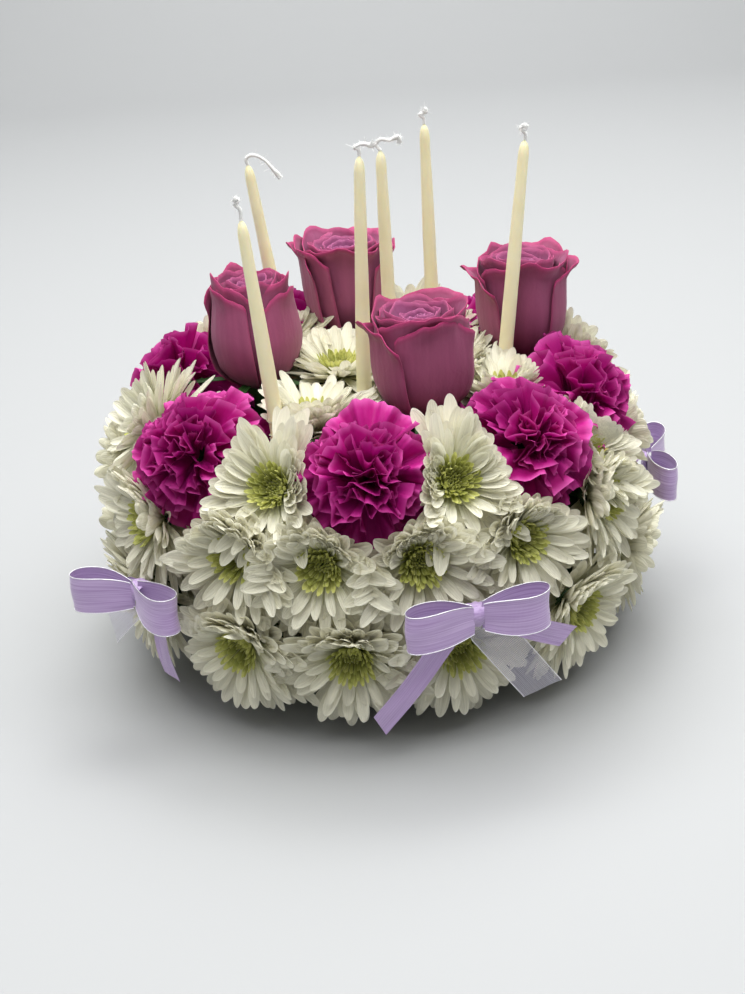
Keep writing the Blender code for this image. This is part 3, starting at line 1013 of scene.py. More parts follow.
class Rose(Piece):
    """A half-open rose: petals wrapped in a spiral, with rolled and pointed rims."""

    SLOT = Slot.MAUVE
    PLACES = {"front": (26, -48), "left": (-60, 10), "back": (-10, 85), "right": (85, 28)}
    FORMS = {
        "front": RoseForm(20, 0.8, 1.0, 57, ((196, 1.6), (-70, 0.8))),
        "left": RoseForm(75, 0.35, 0.86, 60, ((215, 0.8), (-25, 2.2))),
        "back": RoseForm(140, 1.3, 1.06, 58, ((180, 1.5), (5, 1.5))),
        "right": RoseForm(10, 1.0, 1.0, 59, ((185, 2.0), (0, 1.5))),
    }
    PETALS = 17
    ROWS = 19
    COLUMNS = 23
    THICKNESS = 0.45
    CALYX = ((2.6, -20.0), (2.8, -7.0), (6.0, -3.5), (8.5, 0.0), (7.0, 3.0))
    LOW_EDGE = 0.34
    RIM_START = 0.78
    FOLD_SHARE = 0.74
    POINT = 3.0
    POINT_WIDTH = 0.15
    INNER_RADIUS = 2.8
    OUTER_RADIUS = 23.5
    WRAPS = (300.0, 165.0)
    SEPALS = 5
    SEPAL_WIDTH = 5.5
    SEPAL_START = 10.0
    SEPAL_LIFT = 3.0
    BODY_HEIGHTS = (0.0, 0.05, 0.12, 0.22, 0.36, 0.52, 0.75, 1.0)
    BODY_WIDTHS = (0.26, 0.47, 0.67, 0.84, 0.945, 0.985, 0.985, 1.0)

    def __init__(self, label: str, materials: Materials) -> None:
        """Take the rose's name and the looks.

        Args:
            label: Which rose.
            materials: Mauve petal and green.
        """
        super().__init__(f"rose_{label}", sum(label.encode()) * 13, materials)
        self.place = self.PLACES[label]
        self.form = self.FORMS[label]

    def make(self) -> bpy.types.Object:
        """Make the rose.

        Returns:
            The new piece.
        """
        for index in range(self.PETALS):
            share = index / (self.PETALS - 1)
            angle = math.radians(self.form.start) + index * GOLDEN_TURN
            grid = self._petal(share, self.OUTER_RADIUS, angle, 0.0)
            self.sheets.add(grid, share, 0)
        for turn, stand in self.form.folds:
            grid = self._petal(1.0, self.OUTER_RADIUS + stand, math.radians(turn), stand)
            self.sheets.add(grid, 1.0, 0)
        self._lathe(self.CALYX, 20, 1)
        self._sepals()
        self.sheets.place(np.eye(3), np.array([*self.place, ROSE_BASE], float))
        piece = self.sheets.build(self.materials)
        thick = piece.modifiers.new("petal_thickness", "SOLIDIFY")
        thick.thickness = self.THICKNESS * METRES
        thick.offset = 0.0
        return piece

    def _petal(self, share: float, outer: float, angle: float, stand: float) -> Array:
        """Wrap one petal round the rose.

        Args:
            share: 0 in the middle of the rose and 1 at its outside.
            outer: Radius of the outermost petals.
            angle: Angle of the petal's middle.
            stand: How far the petal stands off the body.

        Returns:
            The grid of points.
        """
        chance = self.chance
        radius = self.INNER_RADIUS + (outer - self.INNER_RADIUS) * share ** 0.85
        narrowed = self.FOLD_SHARE if stand else 1.0
        span = math.radians(np.interp(share, (0, 1), self.WRAPS) * narrowed)
        low = self.LOW_EDGE * (1.0 - share)
        along = np.linspace(low, 1.0, self.ROWS)[:, None]
        across = np.linspace(-1.0, 1.0, self.COLUMNS)[None, :]
        phase, second = chance.uniform(0.0, math.tau, 2)
        body = np.interp(along, self.BODY_HEIGHTS, self.BODY_WIDTHS)
        mouth = 1.0 + (self.form.open - 1.0) * smooth(0.45, 1.0, along)
        rim = smooth(self.RIM_START, 1.0, along)
        roll = self.form.flare * (0.4 + 4.0 * share ** 1.5) * chance.uniform(0.5, 1.5) * rim ** 1.6
        roll = roll * (0.6 + 0.4 * np.cos(across * math.pi * 0.9))
        wave = 1.3 * np.sin(across * 5.0 + phase) * rim * (0.35 + share)
        wave = wave + 0.45 * np.sin(across * 13.0 + second) * rim ** 2
        crease = 0.9 * share * np.sin(across * 3.5 + second) * smooth(0.1, 0.5, along)
        crease = crease + 0.16 * np.sin(across * 15.0 + phase) * smooth(0.3, 0.9, along)
        wrap = (1.7 * across + 0.8 * smooth(0.7, 1.0, np.abs(across))) * (0.3 + 0.7 * share)
        distance = radius * body * mouth + roll + wave + crease + wrap
        turn = angle + across * span / 2 * (1.0 - 0.14 * along * np.abs(across))
        aside = across - 0.1 * np.sin(phase)
        point = self.POINT * share * np.exp(-(aside / self.POINT_WIDTH) ** 2)
        top = self.form.tall - 6.5 * (1.0 - share) ** 2
        top = top - (3.0 + 7.0 * share) * np.abs(across) ** 2.2
        top = top + chance.uniform(-2.0, 1.5) + point - 2.0 * stand
        top = top + 0.9 * np.sin(across * 9.0 + second) * share
        top = top + 0.35 * np.sin(across * 21.0 + phase)
        height = along * top - 0.5 * roll * rim
        return np.stack([distance * np.cos(turn), distance * np.sin(turn), height], axis=-1)

    def _sepals(self) -> None:
        """Add the pointed green sepals that spread under the petals."""
        for index in range(self.SEPALS):
            length = self.chance.uniform(20.0, 27.0) + (9.0 if index == 2 else 0.0)
            rise, curl = self.chance.uniform(2, 16), self.chance.uniform(-34, 20)
            angle = math.radians(72.0 * index + 40.0) + self.chance.uniform(-0.2, 0.2)
            grid = Blade(length, self.SEPAL_WIDTH, self.SEPAL_START, rise, curl).grid()
            grid[..., 2] += self.SEPAL_LIFT
            self.sheets.add(turned(grid, angle), self.chance.random(), 1)


class Candle(Piece):
    """A hand-dipped taper with a twisted cotton wick."""

    SLOT = Slot.WAX
    ENDING = "taper"
    BODY_PLACES = (0.0, 0.5, 0.93)
    BODY_RADII = (4.2, 3.7, 2.8)
    LEAST_RADIUS = 0.45
    SHOULDER = 9.0
    RINGS = 40
    AROUND = 20
    STRANDS = 4
    STRAND_RADIUS = 0.5
    WINDING = 1.9
    FIBRES = 150
    FIBRE_WIDTH = 0.09
    FIBRE_LENGTHS = (1.0, 2.6)
    WICKS = (
        ((0, 0, 0), (0, 0, 5), (-2, 0, 7.5), (-1, 0, 9.5), (-2.5, 0, 10.5)),
        ((0, 0, 0), (-0.5, 0, 3.5), (3, 0, 5), (9, 0, 2), (14, -1, -4), (17, -1, -8)),
        ((0, 0, 0), (0, 0, 3), (-2, 0, 4.5), (2, 0, 6), (6, 0, 5), (8, 0, 6.5)),
        ((0, 0, 0), (-2, 0, 3), (0, 0, 5.5), (5, 0, 5), (9, -1, 6.5), (10, 0, 3)),
        ((0, 0, 0), (0, 0, 3), (-2, 0, 5), (1, 0, 6.5), (0, 0, 8)),
        ((0, 0, 0), (0.5, 0, 3), (-2, 0, 5.5), (-0.5, 0, 7), (1.5, 0, 6)),
    )

    def __init__(self, number: int, materials: Materials) -> None:
        """Take the candle's place and the looks.

        Args:
            number: Which candle, counted from 1.
            materials: Wax and cotton.
        """
        super().__init__(f"candle_{number:02d}", number * 101, materials)
        self.number = number

    @staticmethod
    def ends_of(number: int) -> tuple[Array, Array]:
        """Give a candle's foot and tip.

        Args:
            number: Which candle, counted from 1.

        Returns:
            The two points.
        """
        (foot_x, foot_y), (tip_x, tip_y), top = CANDLE_LINES[number - 1]
        tip = np.array([tip_x, tip_y, top], float)
        base = np.array([foot_x, foot_y, ROSE_BASE], float)
        slope = (tip - base) / (tip[2] - base[2])
        return base - slope * (base[2] - CORE_HEIGHT - 1.0), tip

    def make(self) -> bpy.types.Object:
        """Make the candle and its wick.

        Returns:
            The new piece.
        """
        foot, tip = self.ends_of(self.number)
        self.sheets.add(self._wax(foot, tip), self.chance.random(), 0, closed=True)
        path = self._smooth(np.array(self.WICKS[self.number - 1], float)) + tip
        for strand in range(self.STRANDS):
            self.sheets.add(self._strand(path, strand), 0.5, 1, closed=True)
        for _ in range(self.FIBRES):
            self.sheets.add(self._fibre(path), 0.5, 1)
        return self.sheets.build(self.materials)

    def _fibre(self, path: Array) -> Array:
        """Fray one loose fibre off the wick, mostly near its tip.

        Args:
            path: The wick's path.

        Returns:
            The grid of points of a narrow curved strip.
        """
        spot = path[int((len(path) - 1) * self.chance.uniform(0.15, 1.0) ** 0.6)]
        way, bend, wide = self.chance.normal(size=(3, 3))
        way, wide = unit(way), unit(wide) * self.FIBRE_WIDTH
        along = np.linspace(0.0, 1.0, 4)[:, None]
        length = self.chance.uniform(*self.FIBRE_LENGTHS)
        middle = spot + length * (way * along + 0.35 * bend * along ** 2)
        return np.stack([middle - wide, middle + wide], axis=1)

    def _wax(self, foot: Array, tip: Array) -> Array:
        """Shape the wax, a little uneven, with a shoulder that rounds into the wick.

        Args:
            foot: Middle of the foot.
            tip: Middle of the tip.

        Returns:
            The grid of points.
        """
        axis = tip - foot
        long = float(np.linalg.norm(axis))
        axis = axis / long
        side = unit(np.cross(axis, np.array([0.0, 1.0, 0.2])))
        other = np.cross(axis, side)
        shoulder = self.SHOULDER
        near = np.linspace(0.0, long - shoulder, self.RINGS - 8)
        dome = long - shoulder * np.cos(np.linspace(0.0, math.pi / 2, 9)[1:])
        lengths = np.concatenate([near, dome])
        body = np.interp(lengths / long, self.BODY_PLACES, self.BODY_RADII)
        past = np.clip(lengths - long + shoulder, 0, None) / shoulder
        taper = np.sqrt(np.clip(1.0 - past ** 2.2, 0, 1))
        waver = 1.0 + 0.018 * np.sin(lengths / 11.0 + self.number) + 0.012 * np.sin(lengths / 4.3)
        radius = np.maximum(body * waver * taper, self.LEAST_RADIUS)
        turn = np.linspace(0.0, math.tau, self.AROUND, endpoint=False)
        ring = np.cos(turn)[:, None] * side + np.sin(turn)[:, None] * other
        grid = foot + lengths[:, None, None] * axis + radius[:, None, None] * ring[None]
        closing = np.repeat((foot + axis * lengths[0])[None, None], self.AROUND, 1)
        return np.concatenate([closing, grid])

    @staticmethod
    def _smooth(points: Array, steps: int = 7) -> Array:
        """Run a smooth curve through a few points.

        Args:
            points: The points.
            steps: Steps from each point to the next.

        Returns:
            The finer path.
        """
        before, after = 2 * points[0] - points[1], 2 * points[-1] - points[-2]
        padded = np.array([before, *points, after])
        path = []
        for index in range(len(points) - 1):
            p0, p1, p2, p3 = padded[index:index + 4]
            for t in np.linspace(0.0, 1.0, steps, endpoint=False):
                path.append(0.5 * (
                    2 * p1 + (p2 - p0) * t + (2 * p0 - 5 * p1 + 4 * p2 - p3) * t ** 2
                    + (3 * p1 - p0 - 3 * p2 + p3) * t ** 3
                ))
        return np.array([*path, points[-1]])

    def _strand(self, path: Array, strand: int) -> Array:
        """Wind one strand of cotton round the wick's path.

        Args:
            path: The wick's path.
            strand: Which strand.

        Returns:
            The grid of points of a thin tube.
        """
        length = np.concatenate([[0.0], np.cumsum(np.linalg.norm(np.diff(path, axis=0), axis=1))])
        turn = length * self.WINDING + strand * math.tau / self.STRANDS
        side, other = sides_of(path, (0.0, 1.0, 0.0))
        loose = 0.55 + 0.75 * smooth(0.6, 1.0, length / length[-1])
        wound = np.cos(turn)[:, None] * side + np.sin(turn)[:, None] * other
        thin = self.STRAND_RADIUS * (1.0 - 0.4 * smooth(0.85, 1.0, length / length[-1]))
        return tube(path + loose[:, None] * wound, thin, (side, other), 7)


class Cloth(Enum):
    """The ribbons of a bow, by index of their material."""

    SATIN = 0
    SHEER = 1
    EDGE = 2


@dataclass(frozen=True)
class Tail:
    """One loose end of a bow.

    Attributes:
        step: How far it runs to the side.
        drop: How far it falls, as a negative height.
        width: Its width.
        cloth: What it is made of.
    """

    step: float
    drop: float
    width: float
    cloth: Cloth


@dataclass(frozen=True)
class BowForm:
    """Where a bow is pinned and how its ribbons lie.

    Attributes:
        turn: Turn of its knot round the cake, in degrees.
        height: Height of its knot.
        swings: How far its left and right sides swing out, in degrees.
        tails: Its loose ends.
    """

    turn: float
    height: float
    swings: tuple[float, float]
    tails: tuple[Tail, ...]


class Bow(Piece):
    """A bow of lavender satin under sheer ribbon with silvery edges."""

    SLOT = Slot.RIBBON
    ENDING = "ribbons"
    SHEER_WIDTH = 19.0
    SATIN_WIDTH = 12.0
    LONG_TAILS = (
        Tail(-48, -53, SATIN_WIDTH, Cloth.SATIN),
        Tail(35, -51, SHEER_WIDTH, Cloth.SHEER),
        Tail(48, -24, SATIN_WIDTH, Cloth.SATIN),
    )
    FORMS = {
        "front": BowForm(16, 76, (0, 0), LONG_TAILS),
        "left": BowForm(-51, 73, (34, 0), (
            Tail(-38, -12, SATIN_WIDTH, Cloth.SATIN),
            Tail(13, -46, SATIN_WIDTH, Cloth.SATIN),
            Tail(-20, -22, SHEER_WIDTH, Cloth.SHEER),
        )),
        "back": BowForm(196, 76, (0, 0), LONG_TAILS),
        "right": BowForm(101, 70, (0, 28), (
            Tail(-16, -46, SATIN_WIDTH, Cloth.SATIN),
            Tail(44, -34, SATIN_WIDTH, Cloth.SATIN),
            Tail(30, -42, SHEER_WIDTH, Cloth.SHEER),
        )),
    }
    CUT = 0.4
    LOOP_STEPS = 34
    TAIL_STEPS = 18
    COLUMNS = 13
    THREAD_RADIUS = 0.25
    THREAD_GUIDE = (0.13, 0.93, 0.31)
    KNOT_HALF = (5.2, 5.6, 5.9)
    LOOP_LENGTH = 33.0
    LOOP_DEPTH = 15.0
    LAYER = 1.5
    FIRST_LAYER = 3.6
    LOOP_START = 2.5
    LOOP_BACK = 4.0

    def __init__(self, label: str, materials: Materials) -> None:
        """Take the bow's name and the looks.

        Args:
            label: Which bow.
            materials: Satin, sheer and edge thread.
        """
        super().__init__(f"bow_{label}", sum(label.encode()) * 7, materials)
        self.form = self.FORMS[label]

    def make(self) -> bpy.types.Object:
        """Make the bow.

        Returns:
            The new piece.
        """
        for side in (-1, 1):
            path = self._swung(self._loop(side))
            across = np.tile(np.array([0.0, 0.0, 1.0]), (len(path), 1))
            self._ribbon(path, across, self.SHEER_WIDTH, Cloth.SATIN, True)
        for number, tail in enumerate(self.form.tails):
            path = self._swung(self._tail(tail, self.LAYER * (self.FIRST_LAYER - number)))
            ahead = unit(path[-1] - path[0])
            across = np.tile(unit(np.cross(ahead, np.array([0.0, 1.0, 0.0]))), (len(path), 1))
            self._ribbon(path, across, tail.width, tail.cloth, tail.cloth is Cloth.SHEER)
        self._knot()
        level = outward(self.form.turn)
        axes = np.array([[-level[1], level[0], 0.0], -level, [0.0, 0.0, 1.0]])
        self.sheets.place(axes, level * BOW_RADIUS + np.array([0.0, 0.0, self.form.height]))
        return self.sheets.build(self.materials)

    def _swung(self, path: Array) -> Array:
        """Swing each point out by the swing of its side.

        Args:
            path: Points of a ribbon.

        Returns:
            The swung points.
        """
        left, right = self.form.swings
        swing = np.radians(np.where(path[:, 0] < 0.0, left, -right))
        cos, sin = np.cos(swing), np.sin(swing)
        x = path[:, 0] * cos - path[:, 1] * sin
        y = path[:, 0] * sin + path[:, 1] * cos
        return np.stack([x, y, path[:, 2]], axis=-1)

    def _loop(self, side: int) -> Array:
        """Run round one loop, seen from above.

        Args:
            side: -1 for the left loop and 1 for the right.

        Returns:
            The path.
        """
        turn = np.linspace(0.0, math.tau, self.LOOP_STEPS + 1)
        out = (1.0 - np.cos(turn)) / 2
        swell = self.LOOP_DEPTH / 2 * np.sin(turn) * np.sin(turn / 2)
        apart = 1.3 * np.cos(turn / 2)
        x = side * (self.LOOP_START + self.LOOP_LENGTH * out)
        z = 0.6 * np.sin(turn * 2 + side)
        return np.stack([x, -self.LOOP_BACK - apart - swell, z], axis=-1)

    def _tail(self, tail: Tail, layer: float) -> Array:
        """Run along a loose end, with a slight wave.

        Args:
            tail: The loose end.
            layer: Depth behind the knot.

        Returns:
            The path.
        """
        share = np.linspace(0.0, 1.0, self.TAIL_STEPS + 1)
        wave = 1.0 * np.sin(math.pi * 2.2 * share + self.chance.uniform(-0.3, 0.3))
        return np.stack([tail.step * share, layer + wave, tail.drop * share], axis=-1)

    def _ribbon(self, path: Array, across: Array, width: float, cloth: Cloth, edged: bool) -> None:
        """Lay a ribbon along a path, with edge threads if it has them.

        Args:
            path: Middle of the ribbon.
            across: Direction of its width at each point.
            width: Its width.
            cloth: What it is made of.
            edged: True if silvery threads run along its edges.
        """
        share = np.linspace(-0.5, 0.5, self.COLUMNS)
        ahead = unit_rows(np.gradient(path, axis=0))
        normal = np.cross(ahead, across)
        along = np.linspace(0.0, 1.0, len(path))
        looped = cloth is Cloth.SATIN and edged
        if looped:
            pinch = 0.74 + 0.26 * smooth(0.0, 0.25, np.minimum(along, 1.0 - along))
        else:
            pinch = 0.6 + 0.4 * smooth(0.0, 0.22, along)
        wide = width * np.broadcast_to(pinch, along.shape)
        ripple = 0.32 * np.sin(along[:, None] * 9.0 + share[None, :] * 5.0)
        bow = 1.2 * (share ** 2 - 0.08)[None, :] + ripple * np.cos(share * math.pi)[None, :]
        grid = path[:, None] + share[None, :, None] * wide[:, None, None] * across[:, None]
        grid = grid + bow[..., None] * normal[:, None]
        if not looped:
            slant = self.CUT * smooth(0.75, 1.0, along)[:, None] * share[None, :] * wide[:, None]
            grid = grid + slant[..., None] * ahead[:, None]
        self.sheets.add(grid, self.chance.random(), cloth.value)
        if edged:
            for column in (0, -1):
                edge = grid[:, column]
                thread = tube(edge, self.THREAD_RADIUS, sides_of(edge, self.THREAD_GUIDE), 6)
                self.sheets.add(thread, 0.5, Cloth.EDGE.value, closed=True)

    def _knot(self) -> None:
        """Wrap the knot in a gathered band of ribbon."""
        turn = np.linspace(0.0, math.tau, 24, endpoint=False)
        across = np.linspace(-1.0, 1.0, 9)
        grid = np.zeros((9, 24, 3))
        pleat = 1.0 + 0.05 * np.sin(turn * 3.0)[None, :] + 0.06 * np.sin(across * 9.0)[:, None]
        barrel = (1.0 - 0.16 * across ** 2)[:, None] * pleat
        wide, deep, high = self.KNOT_HALF
        grid[..., 0] = (across * wide)[:, None]
        grid[..., 1] = np.cos(turn)[None, :] * deep * barrel
        grid[..., 2] = np.sin(turn)[None, :] * high * barrel
        self.sheets.add(grid, 0.4, Cloth.SATIN.value, closed=True)


@dataclass(frozen=True)
class Finish:
    """Numbers of one material.

    Attributes:
        base: Colour at the foot, linear.
        tip: Colour at the tip, linear.
        edge: Colour at the edges, linear.
        low_tint_tip: Colour at the tip of the petals with the lowest tint, linear.
        roughness: Roughness.
        sheen: Sheen weight.
        through: Share of light that passes through.
        veins: Number of veins across.
        depth: Depth of the veins, in millimetres.
    """

    base: tuple[float, float, float]
    tip: tuple[float, float, float]
    edge: tuple[float, float, float]
    low_tint_tip: tuple[float, float, float]
    roughness: float
    sheen: float
    through: float
    veins: float
    depth: float


WHITE_PETAL = Finish(
    (0.76, 0.77, 0.47), (0.88, 0.86, 0.71), (0.92, 0.91, 0.81), (0.88, 0.86, 0.71),
    0.55, 0.0, 0.32, 5.0, 0.30,
)
# green heart: the dark olive base at the feet of the florets and heart petals, and the darker
# colour for the lowest tint on the middle florets, are partly the heart's own green and partly
# painted shade in its hollow middle
HEART_PETAL = Finish(
    (0.24, 0.26, 0.04), (0.70, 0.70, 0.24), (0.90, 0.88, 0.55), (0.58, 0.61, 0.17),
    0.55, 0.0, 0.25, 3.0, 0.15,
)
MAGENTA_PETAL = Finish(
    (0.26, 0.0, 0.09), (0.47, 0.004, 0.21), (0.74, 0.12, 0.46), (0.42, 0.004, 0.20),
    0.65, 0.0, 0.26, 9.0, 0.20,
)
# mauve rose: the lighter lavender colour for the lowest tint, on the inner petals at the top, is
# partly painted light, and the darker base and tip of the outer petals are partly painted shade on
# the rose's sides and feet; the lavender hue and the crimson rims are the rose's own
MAUVE_PETAL = Finish(
    (0.25, 0.06, 0.11), (0.34, 0.08, 0.17), (0.40, 0.025, 0.13), (0.46, 0.15, 0.34),
    0.58, 0.10, 0.16, 11.0, 0.16,
)
GREEN_LEAF = Finish(
    (0.03, 0.08, 0.02), (0.03, 0.09, 0.02), (0.05, 0.12, 0.03), (0.04, 0.10, 0.03),
    0.5, 0.0, 0.10, 4.0, 0.2,
)


class Nodes:
    """Builds one node tree with short calls."""

    def __init__(self, tree: bpy.types.NodeTree) -> None:
        """Take the tree.

        Args:
            tree: A material's or a group's tree.
        """
        self.tree = tree

    def add(self, kind: str, **inputs: object) -> bpy.types.Node:
        """Add a node.

        Args:
            kind: The node's type.
            inputs: Node settings in lower case, and sockets by name with _ for spaces.

        Returns:
            The node.
        """
        return self.fill(self.tree.nodes.new(kind), **inputs)

    def fill(self, node: bpy.types.Node, **inputs: object) -> bpy.types.Node:
        """Set a node.

        Args:
            node: The node.
            inputs: Node settings in lower case, and sockets by name with _ for spaces.

        Returns:
            The same node.
        """
        for key, value in inputs.items():
            if hasattr(node, key):
                setattr(node, key, value)
            else:
                self.feed(node.inputs[key.replace("_", " ")], value)
        return node

    def bump(self, strength: float, depth: float, height: Socket) -> Socket:
        """Turn heights into a bump.

        Args:
            strength: How much of it shows.
            depth: Its depth in millimetres.
            height: The heights.

        Returns:
            The bent normal.
        """
        made = self.add("ShaderNodeBump", Strength=strength, Distance=depth * METRES, Height=height)
        return made.outputs[0]

    def blend(self, share: object, first: bpy.types.Node, second: bpy.types.Node,
              output: bpy.types.Node) -> None:
        """Send two shaders to the material's output.

        Args:
            share: How much of the second.
            first: First shader.
            second: Second shader.
            output: The output.
        """
        made = self.add("ShaderNodeMixShader")
        for socket, value in zip(made.inputs, (share, first.outputs[0], second.outputs[0])):
            self.feed(socket, value)
        self.feed(output.inputs[0], made.outputs[0])

    def feed(self, socket: Socket, value: object) -> None:
        """Set a socket, or link another socket to it.

        Args:
            socket: The input.
            value: A constant or an output socket.
        """
        if isinstance(value, Socket):
            self.tree.links.new(value, socket)
        else:
            socket.default_value = value

    def math(self, operation: str, first: object, second: object = 0.0) -> Socket:
        """Add a math node.

        Args:
            operation: Its operation.
            first: First value.
            second: Second value.

        Returns:
            The result.
        """
        node = self.add("ShaderNodeMath", operation=operation)
        self.feed(node.inputs[0], first)
        self.feed(node.inputs[1], second)
        return node.outputs[0]

    def line(self, start: object, slope: float, value: object) -> Socket:
        """Add a multiple of a value to another.

        Args:
            start: Value to add to.
            slope: Factor.
            value: Value to multiply.

        Returns:
            start + slope * value.
        """
        return self.math("ADD", start, self.math("MULTIPLY", value, slope))

    def span(self, value: Socket, low: float, high: float) -> Socket:
        """Stretch the values between two limits to 0 to 1.

        Args:
            value: The value.
            low: Value that becomes 0.
            high: Value that becomes 1.

        Returns:
            The stretched value.
        """
        return self.add("ShaderNodeMapRange", Value=value, From_Min=low, From_Max=high).outputs[0]

    def spot(self) -> Socket:
        """Give each point's place in its object.

        Returns:
            The coordinates, in metres.
        """
        return self.add("ShaderNodeTexCoord").outputs["Object"]

    def noise(self, spot: Socket, scale: float, detail: float) -> Socket:
        """Add soft noise.

        Args:
            spot: Coordinates.
            scale: Its fineness.
            detail: Its octaves.

        Returns:
            Values round a half.
        """
        made = self.add("ShaderNodeTexNoise", Vector=spot, Scale=scale, Detail=detail)
        return made.outputs["Fac"]

    def streaks(self, place: Socket, stretch: tuple[float, float, float],
                detail: float) -> Socket:
        """Add noise that is drawn out along a sheet.

        Args:
            place: The sheet's own coordinates.
            stretch: Fineness along it, across it and from sheet to sheet.
            detail: Its octaves.

        Returns:
            Values round a half.
        """
        drawn = self.add("ShaderNodeVectorMath", operation="MULTIPLY")
        self.feed(drawn.inputs[0], place)
        self.feed(drawn.inputs[1], stretch)
        return self.noise(drawn.outputs[0], 1.0, detail)

    def waves(self, value: object, count: object) -> Socket:
        """Add a sine.

        Args:
            value: Its argument.
            count: Factor on the argument.

        Returns:
            Values from -1 to 1.
        """
        return self.math("SINE", self.math("MULTIPLY", value, count))

    def mix(self, share: object, first: object, second: object) -> Socket:
        """Mix two colours.

        Args:
            share: How much of the second.
            first: First colour.
            second: Second colour.

        Returns:
            The mixed colour.
        """
        node = self.add("ShaderNodeMix", data_type="RGBA")
        self.feed(node.inputs["Factor"], share)
        for socket, value in ((node.inputs[6], first), (node.inputs[7], second)):
            self.feed(socket, (*value, 1.0) if isinstance(value, tuple) else value)
        return node.outputs[2]


